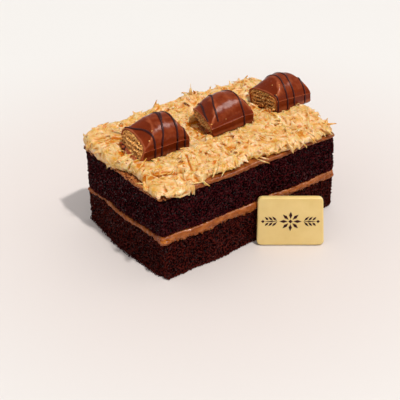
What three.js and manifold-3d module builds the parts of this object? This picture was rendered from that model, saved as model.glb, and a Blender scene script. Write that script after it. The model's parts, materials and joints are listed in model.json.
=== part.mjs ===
// A slab of chocolate layer cake with a shredded pastry topping, three filled wafer bars in a row on
// top, and a small white chocolate plaque that leans on its front. Millimetres, +Z up.
// X runs along the slab, Y from its front face to its back, and the origin is the centre of its base.
import * as THREE from 'three';
import Module from 'manifold-3d';
import { mergeVertices } from 'three/addons/utils/BufferGeometryUtils.js';

const wasm = await Module();
wasm.setup();

// The slab, and how far its top has slid sideways at the height of the upper sponge
const SLAB_LENGTH = 112.4;
const SLAB_WIDTH = 70.2;
const SPONGE_TOP = 45;
const TOP_SLIDE = -2.5;
const CORNER_PULL = 0.6;
const LEFT_BELLY = 1.9;
const LEFT_BELLY_SPREAD = 14;
const LEFT_TOP_SWELL = 0.6;
const FACE_WAVE = 0.45;
const FACE_WAVE_LENGTH = 31;

// Clearance between neighbouring pieces, and the band inside the faces where layers follow their edge
const GAP = 0.3;
const EDGE_BAND = 6;

// Heights of the flat inner parts of the layers
const FILLING_LOW = 20;
const FILLING_HIGH = 23.2;
const SPREAD_LOW = 45.2;
const SPREAD_HIGH = 46.8;

// Cells of the topping's upper face, which also divide the edges of every layer
const CELLS_LONG = 26;
const CELLS_WIDE = 16;

// Height of the filling's middle, and its thickness, along each side (position, value)
const FILLING_MIDDLE = {
  front: [[-56, 22.8], [-40, 22.5], [-8, 22.8], [10, 22.9], [28, 22.2], [56, 21.4]],
  right: [[-35, 21.4], [0, 20.6], [35, 19.4]],
  back: [[-56, 18], [0, 19.6], [56, 19.4]],
  left: [[-35, 22.6], [-26, 20.6], [-9, 19.6], [9, 19.1], [35, 18]],
};
const FILLING_THICKNESS = {
  front: [[-56, 4.2], [-34, 5.2], [-17, 3.4], [-6, 4.6], [12, 3.4], [38, 2.7], [56, 4]],
  right: [[-35, 4], [-8, 2.6], [14, 3.4], [35, 2.4]],
  back: [[-56, 2.2], [-20, 3.2], [10, 2.2], [56, 2.6]],
  left: [[-35, 4.2], [-24, 2.6], [12, 2.3], [19, 0.9], [27, 0.9], [31, 2.1], [35, 2.2]],
};
const FILLING_BULGE = {
  front: [[-56, 1.2], [-48, 0.5], [-36, 0.8], [-17, 0.2], [-6, 0.7], [20, 0.4], [40, 0.7], [56, 0.5]],
  right: [[-35, 0.5], [0, 0.2], [35, 0.5]],
  back: [[-56, 0.2], [-10, 0.6], [56, 0.4]],
  left: [[-35, 1.2], [-26, 0.3], [12, 0.4], [19, -0.6], [27, -0.6], [35, 0.3]],
};

// Height of the upper sponge's edge, and how thick and how proud the spread on it is
const SPONGE_EDGE = {
  front: [[-56, 46.4], [-42, 45.6], [-28, 45.2], [30, 44.8], [56, 44.6]],
  right: [[-35, 44.6], [0, 45], [35, 44.4]],
  back: [[-56, 43.4], [0, 45], [56, 44.4]],
  left: [[-35, 46.4], [-24, 44.6], [0, 44.4], [35, 43.4]],
};
const SPREAD_THICKNESS = {
  front: [[-56, 1], [-38, 2.3], [-20, 1.5], [0, 1.8], [25, 1.4], [56, 1.5]],
  right: [[-35, 1.5], [0, 1.1], [35, 1.5]],
  back: [[-56, 1.2], [0, 1.7], [56, 1.5]],
  left: [[-35, 1], [-14, 1.6], [10, 1.1], [35, 1.2]],
};

// How far the topping's edge stands out of the faces, and how far it hangs down where it does
const TOPPING_REACH = {
  front: [[-56, 0.4], [-43, 0.7], [-37, -3], [-32, -0.4], [-27, -2.8], [-17, -1.7], [5, -4.2],
    [13, -1.9], [26, 0.2], [40, 0.8], [49, -0.6], [56, -0.7]],
  right: [[-35, -0.7], [-22, 0.8], [-4, 0.5], [14, 0.9], [35, 0]],
  back: [[-56, -0.4], [-36, 0.5], [-12, 0.9], [14, 0.4], [38, 0.9], [56, 0]],
  left: [[-35, 0.4], [-28, 0], [-15, -3.9], [-5, -3.6], [3, 0.3], [19, 0.3], [35, -0.4]],
};
const TOPPING_HANG = {
  front: [[-56, 0.4], [-43, 2], [-35, 0], [56, 0]],
  right: [[-35, 0], [-22, 1.6], [-4, 1], [14, 2], [35, 1]],
  back: [[-56, 2.4], [-36, 1.2], [-12, 2.2], [14, 1], [38, 2], [56, 1]],
  left: [[-35, 0.4], [4, 0.4], [19, 1.4], [29, 2.4], [35, 2.4]],
};

// The topping's upper face: its height at the front and back, and the lumps on it
const TOPPING_FRONT = 51.3;
const TOPPING_BACK = 53.2;
const LUMPS = [{ size: 13, height: 1.1, seed: 3 }, { size: 7, height: 0.7, seed: 8 }];

// The topping's rounded edge: where its underside ends, its lip, its widest place and its shoulder
const REST_BACK = 0.3;
const REST_LIMIT = 0.5;
const LIP_OUT = 0.2;
const LIP_RISE = 0.6;
const HANG_FROM = 0.15;
const HANG_CLEARANCE = 0.4;
const HANG_SWELL = 0.7;
const SIDE_SWELL = 0.5;
const WIDEST_SHARE = 0.45;
const SHOULDER_IN = 0.9;
const SHOULDER_DROP = 0.9;

// Hollows in the topping beside the raised ends of the bars
const HOLLOWS = [
  { x: -9, y: 1, radius: 5, depth: 1.6 },
  { x: 34.5, y: 2, radius: 5, depth: 1.5 },
  { x: -57, y: 10, radius: 4, depth: 0.8 },
];

// Shreds of pastry on the topping: the largest come first
const SHRED_COUNT = 76;
const SHRED_LONGEST = 11;
const SHRED_SHORTEST = 6;
const SHRED_WIDTH = 0.95;
const SHRED_HEIGHT = 0.75;
const SHRED_TRIES = 14;
const SHRED_LIFT = [0.3, 1.5];
const SHRED_DIP = 0.3;
const LOWEST_SHRED = 49.2;
const SHRED_EDGE_ROOM = 3;
const BAR_ROOM = 2;

// Shreds that hang over the edge, with the height of their tips and their swing along the edge, and the
// points of one that stands on the back edge
const HANGING_ROOT = 50.2;
const HANGING_BEND = 48.6;
const HANGING_SHREDS = [
  { side: 'front', along: -52, low: 45.6, swing: 1.5 },
  { side: 'front', along: -31.5, low: 45.4, swing: -1 },
  { side: 'front', along: 28, low: 45.8, swing: 2 },
  { side: 'front', along: 38.5, low: 43, swing: 0.6 },
  { side: 'front', along: 51, low: 46, swing: -1.4 },
  { side: 'left', along: 26, low: 42.6, swing: 1.6 },
  { side: 'left', along: 10, low: 44, swing: -1.8 },
  { side: 'right', along: -24, low: 44, swing: 1.4 },
  { side: 'right', along: 12, low: 43.6, swing: -1.2 },
  { side: 'back', along: 36, low: 43.6, swing: 1.5 },
  { side: 'back', along: -10, low: 44, swing: -1.6 },
  { side: 'back', along: -46, low: 43, swing: 1 },
];
const STANDING_SHRED = [[10.2, 33.2, 51.5], [10.6, 33.6, 56.6], [10, 34, 61]];

// A wafer bar: its section, its coat and its wafer shell
const BAR_WIDTH = 22.2;
const BAR_FOOT = 2.6;
const BAR_FOOT_PROUD = 0.35;
const BAR_BAND = 7;
const COAT_WALL = 1.1;
const WAFER_WALL = 1.3;
const SEAT_SINK = 0.9;
const CUT_BLEND = 8;
const STRIPE_RADIUS = 0.55;
const STRIPE_STEPS = 5;
const DOME_STEPS = 7;

// Stations along a bar's coat, and along what fills it; a hollow starts before the cut
const COAT_SHARES = [0, 0.1, 0.22, 0.36, 0.55, 0.74, 0.85, 0.93, 1];
const CORE_SHARES = [0, 0.2, 0.4, 0.65, 0.84];
const BEFORE_CUT = -0.08;

// Height of a bar's dome above its side band, along the bar's length, as a share of the highest rise
const DOME_RISE = [[0.1, 0.5], [0.33, 0.9], [0.55, 1], [0.76, 0.92], [0.93, 0.43], [1, 0.24]];
const BAND_RISE = [[0, 1], [0.8, 1], [1, 0.72]];

// Where each bar lies, its turns in degrees, its dome, how its cut end slants, and the stripes piped
// over it (share of length, share of half width)
const BARS = [
  {
    name: 'bar_left', x: -47.1, y: 5.6, z: 51.3, turn: 1.4, pitch: 2.9, roll: 2.2, length: 27.6,
    dome: 9.5, cutDome: 4.2, slant: -0.35, skew: 0.04,
    stripes: [
      [[0.02, 0.78], [0.12, 0.3], [0.26, -0.1], [0.31, -0.6], [0.28, -1.02]],
      [[0.5, 1], [0.52, 0.2], [0.5, -0.7], [0.38, -1.02]],
      [[0.8, 1], [0.8, 0], [0.7, -1.02]],
      [[0.97, 0.8], [0.96, 0], [0.93, -1.02]],
    ],
  },
  {
    name: 'bar_middle', x: -5.8, y: 3, z: 51.7, turn: 2.6, pitch: 1.4, roll: -4.5, length: 26.6,
    dome: 9.4, cutDome: 3.9, slant: 0.37, skew: 0.3,
    stripes: [
      [[0.12, 0.8], [0.1, 0], [0.05, -0.9]],
      [[0.38, 1], [0.36, 0], [0.3, -1.02]],
      [[0.76, 1], [0.78, 0], [0.76, -1.02]],
      [[0.97, 0.9], [0.96, 0], [0.9, -0.9]],
    ],
  },
  {
    name: 'bar_right', x: 36, y: 3.2, z: 51.3, turn: 2.8, pitch: 3.2, roll: -7.5, length: 24.6,
    dome: 8.9, cutDome: 3.4, slant: 0.14, skew: 0,
    stripes: [
      [[0.4, 1], [0.4, 0], [0.34, -1.02]],
      [[0.62, 1], [0.64, 0], [0.6, -1.02]],
      [[0.94, 0.9], [0.93, 0], [0.88, -1.02]],
    ],
  },
];

// The plaque: widths, height and thickness, its turn about the upright and its lean against the cake
const PLAQUE = {
  width: 35, topWidth: 33.4, height: 28.2, thickness: 3.2, corner: 2.5, edge: 0.8,
  turn: -36.7, lean: 5.5,
};
const PLAQUE_CORNER = { x: -1.6, y: -40.4 };

const COLOURS = {
  sponge: 0x2e0c0d, filling: 0xa0643c, topping: 0xe4b878, coat: 0x8f4636,
  wafer: 0xc39a5c, cream: 0xdcc48c, plaque: 0xe4c47a,
};

const toRadians = THREE.MathUtils.degToRad;
const lerp = THREE.MathUtils.lerp;

// Value between the points of a short list, eased so that the curve has no corners
function alongList(list, position) {
  if (position <= list[0][0]) {
    return list[0][1];
  }
  for (let k = 1; k < list.length; k += 1) {
    const [end, endValue] = list[k];
    if (position <= end) {
      const [start, startValue] = list[k - 1];
      const share = (position - start) / (end - start);
      return lerp(startValue, endValue, share * share * (3 - 2 * share));
    }
  }
  return list[list.length - 1][1];
}

// Seeded random numbers from 0 to 1
function seededRandom(seed) {
  let state = seed;
  return () => {
    state = (state * 1664525 + 1013904223) % 4294967296;
    return state / 4294967296;
  };
}

// Smooth random height from -1 to 1 over the plan
function latticeValue(column, row, seed) {
  const wave = Math.sin(column * 127.1 + row * 311.7 + seed * 74.7) * 43758.5453;
  return 2 * (wave - Math.floor(wave)) - 1;
}

function smoothNoise(x, y, seed) {
  const column = Math.floor(x);
  const row = Math.floor(y);
  const u = THREE.MathUtils.smoothstep(x - column, 0, 1);
  const v = THREE.MathUtils.smoothstep(y - row, 0, 1);
  const near = lerp(latticeValue(column, row, seed), latticeValue(column + 1, row, seed), u);
  const far = lerp(latticeValue(column, row + 1, seed), latticeValue(column + 1, row + 1, seed), u);
  return lerp(near, far, v);
}

// Closed body from rings of points that run anticlockwise seen from the last ring's side
function closedFromRings(rings, { flipFirst = false, endFace = null } = {}) {
  const positions = [];
  const index = [];
  const count = rings[0].length;
  rings.forEach((ring) => ring.forEach((point) => positions.push(point.x, point.y, point.z)));
  for (let r = 0; r + 1 < rings.length; r += 1) {
    for (let j = 0; j < count; j += 1) {
      const next = (j + 1) % count;
      const a = r * count + j;
      const b = r * count + next;
      const c = a + count;
      const d = b + count;
      index.push(...(flipFirst && r === 0 ? [a, b, c, b, d, c] : [a, b, d, a, d, c]));
    }
  }
  const fan = (ring, offset, outward) => {
    const middle = ring.reduce((sum, point) => sum.add(point), new THREE.Vector3()).divideScalar(count);
    const centre = positions.length / 3;
    positions.push(middle.x, middle.y, middle.z);
    for (let j = 0; j < count; j += 1) {
      const next = (j + 1) % count;
      index.push(centre, ...(outward ? [offset + j, offset + next] : [offset + next, offset + j]));
    }
  };
  fan(rings[0], 0, false);
  const lastOffset = (rings.length - 1) * count;
  if (endFace) {
    endFace(positions, index, lastOffset);
  } else {
    fan(rings[rings.length - 1], lastOffset, true);
  }
  const geometry = new THREE.BufferGeometry();
  geometry.setAttribute('position', new THREE.Float32BufferAttribute(positions, 3));
  geometry.setIndex(index);
  return geometry;
}

function toSolid(geometry) {
  const bare = geometry.clone();
  bare.deleteAttribute('normal');
  bare.deleteAttribute('uv');
  const merged = mergeVertices(bare, 1e-4);
  return new wasm.Manifold(new wasm.Mesh({
    numProp: 3,
    vertProperties: new Float32Array(merged.attributes.position.array),
    triVerts: new Uint32Array(merged.index.array),
  }));
}

function fromSolid(solid) {
  const mesh = solid.getMesh();
  const geometry = new THREE.BufferGeometry();
  geometry.setAttribute('position', new THREE.Float32BufferAttribute(mesh.vertProperties, 3));
  geometry.setIndex(Array.from(mesh.triVerts));
  return geometry;
}

function namedMesh(name, geometry, colour, roughness) {
  geometry.computeVertexNormals();
  const material = new THREE.MeshStandardMaterial({ color: colour, roughness, metalness: 0 });
  const mesh = new THREE.Mesh(geometry, material);
  mesh.name = name;
  return mesh;
}

// Stations round the slab's edge, anticlockwise from the near left corner; each has its way outwards,
// which turns evenly from corner to corner
const HALF_LENGTH = SLAB_LENGTH / 2;
const HALF_WIDTH = SLAB_WIDTH / 2;

function stationAt(side, along) {
  const onLongSide = side === 'front' || side === 'back';
  const sign = side === 'front' || side === 'left' ? -1 : 1;
  const nx = onLongSide ? along / HALF_LENGTH : sign;
  const ny = onLongSide ? sign : along / HALF_WIDTH;
  const pull = Math.abs(nx * ny) > 0.99 ? CORNER_PULL : 0;
  return { side, along, nx, ny, x: nx * (HALF_LENGTH - pull), y: ny * (HALF_WIDTH - pull) };
}

function edgeStations() {
  const stations = [];
  const addSide = (side, cells, start, end) => {
    for (let k = 0; k < cells; k += 1) {
      stations.push(stationAt(side, lerp(start, end, k / cells)));
    }
  };
  addSide('front', CELLS_LONG, -HALF_LENGTH, HALF_LENGTH);
  addSide('right', CELLS_WIDE, -HALF_WIDTH, HALF_WIDTH);
  addSide('back', CELLS_LONG, HALF_LENGTH, -HALF_LENGTH);
  addSide('left', CELLS_WIDE, HALF_WIDTH, -HALF_WIDTH);
  return stations;
}

const STATIONS = edgeStations();

function sideValue(lists, station) {
  return alongList(lists[station.side], station.along);
}

// How far a side face swells out of the plain box at a height
function faceSwell(station, z) {
  const wave = FACE_WAVE * Math.sin((station.along * 2 * Math.PI) / FACE_WAVE_LENGTH + z / 12);
  if (station.side !== 'left') {
    return wave;
  }
  const belly = LEFT_BELLY * Math.exp(-((station.along / LEFT_BELLY_SPREAD) ** 2));
  const share = THREE.MathUtils.clamp(z / SPONGE_TOP, 0, 1);
  return wave * 0.4 + lerp(belly, LEFT_TOP_SWELL, share);
}

// Point beside a side face: offset is measured outwards from the face
function facePoint(station, z, offset) {
  const out = faceSwell(station, z) + offset;
  const slide = TOP_SLIDE * (z / SPONGE_TOP);
  return new THREE.Vector3(station.x + slide + station.nx * out, station.y + station.ny * out, z);
}

// Height of a layer's surface near its edge, where it runs from the flat inner part to the edge
function bandHeight(offset, edge, inner) {
  return lerp(inner, edge, THREE.MathUtils.clamp((offset + EDGE_BAND) / EDGE_BAND, 0, 1));
}

// Layer of the cake: flat inside, with its own edge heights, and a wall that bulges by rows. Its first
// band is split the other way, so that it lies flush on the last band of the layer below.
function layer(lowInner, highInner, lowEdge, highEdge, bulge, rows) {
  const ring = (height, offset) => (
    STATIONS.map((station) => facePoint(station, height(station), offset(station)))
  );
  const rings = [ring(() => lowInner, () => -EDGE_BAND), ring(lowEdge, () => 0)];
  for (let row = 1; row < rows; row += 1) {
    const share = row / rows;
    const height = (station) => lerp(lowEdge(station), highEdge(station), share);
    rings.push(ring(height, (station) => bulge(station) * Math.sin(Math.PI * share)));
  }
  rings.push(ring(highEdge, () => 0), ring(() => highInner, () => -EDGE_BAND));
  return closedFromRings(rings, { flipFirst: true });
}

function fillingEdge(station, upwards) {
  return sideValue(FILLING_MIDDLE, station) + (upwards * sideValue(FILLING_THICKNESS, station)) / 2;
}

const fillingLowEdge = (station) => fillingEdge(station, -1);
const fillingHighEdge = (station) => fillingEdge(station, 1);
const spongeEdge = (station) => sideValue(SPONGE_EDGE, station);
const spreadEdge = (station) => spongeEdge(station) + GAP + sideValue(SPREAD_THICKNESS, station);
const noBulge = () => 0;

function lowerSponge() {
  const base = () => 0;
  return layer(0, FILLING_LOW - GAP, base, (station) => fillingLowEdge(station) - GAP, noBulge, 2);
}

function fillingLayer() {
  return layer(FILLING_LOW, FILLING_HIGH, fillingLowEdge, fillingHighEdge,
    (station) => sideValue(FILLING_BULGE, station), 2);
}

function upperSponge() {
  return layer(FILLING_HIGH + GAP, SPREAD_LOW - GAP, (station) => fillingHighEdge(station) + GAP, spongeEdge,
    noBulge, 2);
}

// The spread is proud of the face only where the topping stays back from it
function spreadProud(station) {
  return sideValue(TOPPING_REACH, station) < -0.5 ? 0.5 : 0;
}

function spreadLayer() {
  return layer(SPREAD_LOW, SPREAD_HIGH, (station) => spongeEdge(station) + GAP, spreadEdge, spreadProud, 2);
}

function barMatrix(bar) {
  const turn = new THREE.Euler(toRadians(bar.roll), toRadians(bar.pitch), toRadians(bar.turn), 'ZYX');
  const matrix = new THREE.Matrix4().makeRotationFromEuler(turn);
  return matrix.setPosition(bar.x, bar.y, bar.z);
}

// Height of the plane under a bar, and how far outside the bar's footprint a place is
function underBar(bar, x, y) {
  const matrix = barMatrix(bar);
  const normal = new THREE.Vector3(0, 0, 1).transformDirection(matrix);
  const local = new THREE.Vector3(x, y, bar.z).applyMatrix4(matrix.clone().invert());
  const beyondLength = Math.max(-local.x - 2, local.x - bar.length, 0);
  const beyondWidth = Math.max(Math.abs(local.y) - BAR_WIDTH / 2, 0);
  const height = bar.z - (normal.x * (x - bar.x) + normal.y * (y - bar.y)) / normal.z;
  return { height, outside: Math.hypot(beyondLength, beyondWidth) };
}

// Upper face of the topping: lumps, hollows, and level seats under the bars
function toppingHeight(x, y) {
  let height = lerp(TOPPING_FRONT, TOPPING_BACK, y / SLAB_WIDTH + 0.5);
  LUMPS.forEach((lump) => {
    height += lump.height * smoothNoise(x / lump.size, y / lump.size, lump.seed);
  });
  HOLLOWS.forEach((hollow) => {
    const distance = Math.hypot(x - hollow.x, y - hollow.y) / hollow.radius;
    height -= hollow.depth * Math.exp(-distance * distance);
  });
  BARS.forEach((bar) => {
    const seat = underBar(bar, x, y);
    const share = THREE.MathUtils.smoothstep(seat.outside, 0.5, 5);
    height = lerp(seat.height + SEAT_SINK, height, share);
  });
  return height;
}

// The topping hangs over the edge only where it and its neighbours stand clear of the face
function hangDepth(station, index) {
  const clear = [-1, 0, 1].every((step) => {
    const neighbour = STATIONS[(index + step + STATIONS.length) % STATIONS.length];
    return sideValue(TOPPING_REACH, neighbour) > HANG_FROM;
  });
  return clear ? sideValue(TOPPING_HANG, station) : 0;
}

// Rings of the topping's edge, from its underside over the hanging lip to its shoulder
function toppingRings() {
  const under = (station) => facePoint(station, SPREAD_HIGH + GAP, -EDGE_BAND);
  const rest = (station) => Math.min(sideValue(TOPPING_REACH, station) - REST_BACK, REST_LIMIT);
  const restHeight = (station) => bandHeight(rest(station), spreadEdge(station), SPREAD_HIGH) + GAP;
  const inner = (station) => facePoint(station, restHeight(station), rest(station));
  const lip = (station, index) => {
    const depth = hangDepth(station, index);
    const reach = sideValue(TOPPING_REACH, station);
    const offset = LIP_OUT + (depth > 0 ? Math.max(reach, HANG_CLEARANCE) : reach);
    return facePoint(station, restHeight(station) + (depth > 0 ? -depth : LIP_RISE), offset);
  };
  const side = (station, index) => {
    const swell = hangDepth(station, index) > 0 ? HANG_SWELL : SIDE_SWELL;
    const offset = sideValue(TOPPING_REACH, station) + swell;
    return facePoint(station, lerp(restHeight(station), TOPPING_FRONT, WIDEST_SHARE), offset);
  };
  const shoulder = (station) => {
    const point = facePoint(station, TOPPING_FRONT, sideValue(TOPPING_REACH, station) - SHOULDER_IN);
    point.z = toppingHeight(point.x, point.y) - SHOULDER_DROP;
    return point;
  };
  return [under, inner, lip, side, shoulder].map((place) => STATIONS.map(place));
}

// Place in the edge loop of a border cell corner, counted as the stations are
function edgePlace(column, row) {
  if (row === 0 && column < CELLS_LONG) {
    return column;
  }
  if (column === CELLS_LONG && row < CELLS_WIDE) {
    return CELLS_LONG + row;
  }
  if (row === CELLS_WIDE && column > 0) {
    return 2 * CELLS_LONG + CELLS_WIDE - column;
  }
  return 2 * (CELLS_LONG + CELLS_WIDE) - row;
}

// The lumpy upper face, spanned between the shoulder's four sides
function toppingFace(shoulder) {
  return (positions, index, offset) => {
    const at = (column, row) => shoulder[edgePlace(column, row) % STATIONS.length];
    const grid = [];
    for (let row = 0; row <= CELLS_WIDE; row += 1) {
      const v = row / CELLS_WIDE;
      for (let column = 0; column <= CELLS_LONG; column += 1) {
        const u = column / CELLS_LONG;
        if (row === 0 || row === CELLS_WIDE || column === 0 || column === CELLS_LONG) {
          grid.push(offset + (edgePlace(column, row) % STATIONS.length));
          continue;
        }
        const span = (axis) => {
          const across = lerp(at(0, row)[axis], at(CELLS_LONG, row)[axis], u);
          const along = lerp(at(column, 0)[axis], at(column, CELLS_WIDE)[axis], v);
          const near = lerp(at(0, 0)[axis], at(CELLS_LONG, 0)[axis], u);
          const far = lerp(at(0, CELLS_WIDE)[axis], at(CELLS_LONG, CELLS_WIDE)[axis], u);
          return across + along - lerp(near, far, v);
        };
        grid.push(positions.length / 3);
        positions.push(span('x'), span('y'), toppingHeight(span('x'), span('y')));
      }
    }
    for (let row = 0; row < CELLS_WIDE; row += 1) {
      for (let column = 0; column < CELLS_LONG; column += 1) {
        const a = grid[row * (CELLS_LONG + 1) + column];
        const b = grid[row * (CELLS_LONG + 1) + column + 1];
        const c = grid[(row + 1) * (CELLS_LONG + 1) + column];
        const d = grid[(row + 1) * (CELLS_LONG + 1) + column + 1];
        index.push(a, b, d, a, d, c);
      }
    }
  };
}

// Strip of pastry through its points, with a four-sided section
function shred(points) {
  const rings = points.map((point, k) => {
    const from = points[Math.max(k - 1, 0)];
    const to = points[Math.min(k + 1, points.length - 1)];
    const forward = to.clone().sub(from).normalize();
    const upright = Math.hypot(forward.x, forward.y) < 0.2;
    const side = new THREE.Vector3(upright ? 1 : -forward.y, upright ? 0 : forward.x, 0).normalize();
    const up = side.clone().cross(forward);
    const corner = (s, t) => {
      const across = side.clone().multiplyScalar((s * SHRED_WIDTH) / 2);
      return across.addScaledVector(up, (t * SHRED_HEIGHT) / 2).add(point);
    };
    return [corner(-1, -1), corner(-1, 1), corner(1, 1), corner(1, -1)];
  });
  return closedFromRings(rings);
}

function nearBar(x, y, margin) {
  return BARS.some((bar) => underBar(bar, x, y).outside < margin);
}

// Places spread evenly over the upper face: each new one is the loneliest of a few random tries
function shredPlaces(random) {
  const places = [];
  while (places.length < SHRED_COUNT) {
    let best = null;
    for (let k = 0; k < SHRED_TRIES; k += 1) {
      const x = TOP_SLIDE + lerp(SHRED_EDGE_ROOM - HALF_LENGTH, HALF_LENGTH - SHRED_EDGE_ROOM, random());
      const y = lerp(SHRED_EDGE_ROOM - HALF_WIDTH, HALF_WIDTH - SHRED_EDGE_ROOM, random());
      const room = Math.min(SLAB_LENGTH, ...places.map((place) => Math.hypot(place.x - x, place.y - y)));
      if (!nearBar(x, y, BAR_ROOM) && (!best || room > best.room)) {
        best = { x, y, room };
      }
    }
    if (best) {
      places.push(best);
    }
  }
  return places;
}

// Shreds that lie on the core: one end dips into it and the other stands a little clear
function lyingShreds(core) {
  const random = seededRandom(41);
  const caster = new THREE.Raycaster();
  const target = new THREE.Mesh(core, new THREE.MeshBasicMaterial());
  const surface = (x, y) => {
    caster.set(new THREE.Vector3(x, y, 90), new THREE.Vector3(0, 0, -1));
    const hits = caster.intersectObject(target);
    return hits.length ? hits[0].point.z : null;
  };
  const strips = [];
  shredPlaces(random).forEach((place, k) => {
    const length = lerp(SHRED_LONGEST, SHRED_SHORTEST, k / SHRED_COUNT);
    const angle = random() * 2 * Math.PI;
    const lift = lerp(...SHRED_LIFT, random());
    const bend = lerp(-1, 1, random());
    const points = [-0.5, 0, 0.5].map((share) => {
      const forward = length * share;
      const sideways = share === 0 ? bend : 0;
      const x = place.x + Math.cos(angle) * forward - Math.sin(angle) * sideways;
      const y = place.y + Math.sin(angle) * forward + Math.cos(angle) * sideways;
      const height = nearBar(x, y, BAR_ROOM) ? null : surface(x, y);
      return height && new THREE.Vector3(x, y, height + (share < 0 ? -SHRED_DIP : share * 2 * lift));
    });
    if (points.every((point) => point && point.z > LOWEST_SHRED)) {
      strips.push(shred(points));
    }
  });
  return strips;
}

// Shreds that hang over the edge, and one that stands on the back edge
function edgeShreds() {
  const strips = HANGING_SHREDS.map((item) => {
    const reach = Math.max(sideValue(TOPPING_REACH, item), 0);
    const place = (shift, z, offset) => facePoint(stationAt(item.side, item.along + shift), z, offset);
    const root = place(0, HANGING_ROOT, reach - 1.6);
    const bend = place(item.swing / 2, HANGING_BEND, reach + 1.3);
    return shred([root, bend, place(item.swing, item.low, reach + 1.5)]);
  });
  strips.push(shred(STANDING_SHRED.map(([x, y, z]) => new THREE.Vector3(x, y, z))));
  return strips;
}

// Box round a bar, grown by the clearance, that clears its seat in the topping. It starts where the
// slanted cut reaches furthest at the bar's base.
function seatCutter(bar) {
  const front = Math.max(Math.abs(bar.skew) * BAR_WIDTH / 2 - bar.slant * BAR_BAND, 0) + GAP;
  const size = new THREE.Vector3(bar.length + front + GAP, BAR_WIDTH + 2 * (BAR_FOOT_PROUD + GAP), 24);
  const box = new THREE.BoxGeometry(size.x, size.y, size.z);
  box.translate(bar.length + GAP - size.x / 2, 0, size.z / 2 - GAP);
  return toSolid(box.applyMatrix4(barMatrix(bar)));
}

function topping() {
  const rings = toppingRings();
  const endFace = toppingFace(rings[rings.length - 1]);
  const core = closedFromRings(rings, { flipFirst: true, endFace });
  let solid = toSolid(core);
  [...lyingShreds(core), ...edgeShreds()].forEach((strip) => {
    solid = solid.add(toSolid(strip));
  });
  BARS.forEach((bar) => {
    solid = solid.subtract(seatCutter(bar));
  });
  return fromSolid(solid);
}

// Height of a bar's dome above the band at a share of its length
function domeRise(bar, share) {
  return bar.dome * alongList([[0, bar.cutDome / bar.dome], ...DOME_RISE], share);
}

// Point of a bar's section: the inset is measured inwards from its outer surface
function barSurface(bar, share, across, inset) {
  const half = BAR_WIDTH / 2 - inset;
  const band = BAR_BAND * alongList(BAND_RISE, share);
  const rise = Math.max(domeRise(bar, share) - inset, 0.4);
  return { y: half * across, z: band + rise * Math.sqrt(Math.max(1 - across * across, 0)) };
}

// Half of a bar's side wall from its base to the top of the band, as distances from the middle
function sideProfile(half, band, inset) {
  if (inset > 0) {
    return [[half, inset], [half, lerp(inset, band, 0.5)], [half, band]];
  }
  const foot = half + BAR_FOOT_PROUD;
  return [[foot, 0], [foot, BAR_FOOT], [half, BAR_FOOT + 2 * BAR_FOOT_PROUD], [half, band]];
}

// Ring round a bar at a share of its length; near the cut it follows the cut's slanted plane
function barRing(bar, share, inset, trim) {
  const wall = sideProfile(BAR_WIDTH / 2 - inset, BAR_BAND * alongList(BAND_RISE, share), inset);
  const dome = [];
  for (let k = 1; k < DOME_STEPS; k += 1) {
    const point = barSurface(bar, share, Math.cos((Math.PI * k) / DOME_STEPS), inset);
    dome.push([point.y, point.z]);
  }
  const profile = [...wall, ...dome, ...wall.map(([y, z]) => [-y, z]).reverse()];
  return profile.map(([y, z]) => new THREE.Vector3(lengthwise(bar, share * bar.length - trim, y, z), y, z));
}

function lengthwise(bar, x, y, z) {
  const cut = bar.skew * y + bar.slant * (BAR_BAND - z);
  return x + cut * THREE.MathUtils.clamp(1 - x / CUT_BLEND, 0, 1.5);
}

// Closed body along a bar; its last ring is drawn back by the trim
function barLoft(bar, shares, inset, trim) {
  const last = shares.length - 1;
  return closedFromRings(shares.map((share, k) => barRing(bar, share, inset, k === last ? trim : 0)));
}

// Stripe of piped chocolate that follows the dome and runs down the side band
function stripe(bar, path) {
  const places = path.map(([share, across]) => new THREE.Vector3(share, across, 0));
  const curve = new THREE.CatmullRomCurve3(places);
  const points = curve.getPoints(STRIPE_STEPS).map((place) => {
    const point = barSurface(bar, place.x, THREE.MathUtils.clamp(place.y, -1, 1), 0);
    return new THREE.Vector3(lengthwise(bar, place.x * bar.length, point.y, point.z), point.y, point.z);
  });
  if (path[path.length - 1][1] < -1) {
    const last = points[points.length - 1];
    points.push(new THREE.Vector3(last.x, last.y - 0.1, BAR_FOOT + 0.4));
  }
  const rings = points.map((point, k) => {
    const before = points[Math.max(k - 1, 0)];
    const after = points[Math.min(k + 1, points.length - 1)];
    const forward = after.clone().sub(before).normalize();
    const side = new THREE.Vector3(1, 0, 0).addScaledVector(forward, -forward.x).setLength(STRIPE_RADIUS);
    const up = forward.clone().cross(side);
    return [side, up, side.clone().negate(), up.clone().negate()].map((offset) => offset.add(point));
  });
  return closedFromRings(rings);
}

// The chocolate coat is open at the cut; the wafer shell and the cream fill it up to the cut
function coat(bar) {
  let solid = toSolid(barLoft(bar, COAT_SHARES, 0, 0));
  bar.stripes.forEach((path) => {
    solid = solid.add(toSolid(stripe(bar, path)));
  });
  return fromSolid(solid.subtract(toSolid(barLoft(bar, [BEFORE_CUT, ...CORE_SHARES], COAT_WALL, 0))));
}

function wafer(bar) {
  const shell = toSolid(barLoft(bar, CORE_SHARES, COAT_WALL + GAP, GAP));
  const inset = COAT_WALL + GAP + WAFER_WALL;
  const hollow = toSolid(barLoft(bar, [BEFORE_CUT, ...CORE_SHARES], inset, GAP + WAFER_WALL));
  return fromSolid(shell.subtract(hollow));
}

function cream(bar) {
  return barLoft(bar, CORE_SHARES, COAT_WALL + WAFER_WALL + 2 * GAP, WAFER_WALL + 2 * GAP);
}

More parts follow.
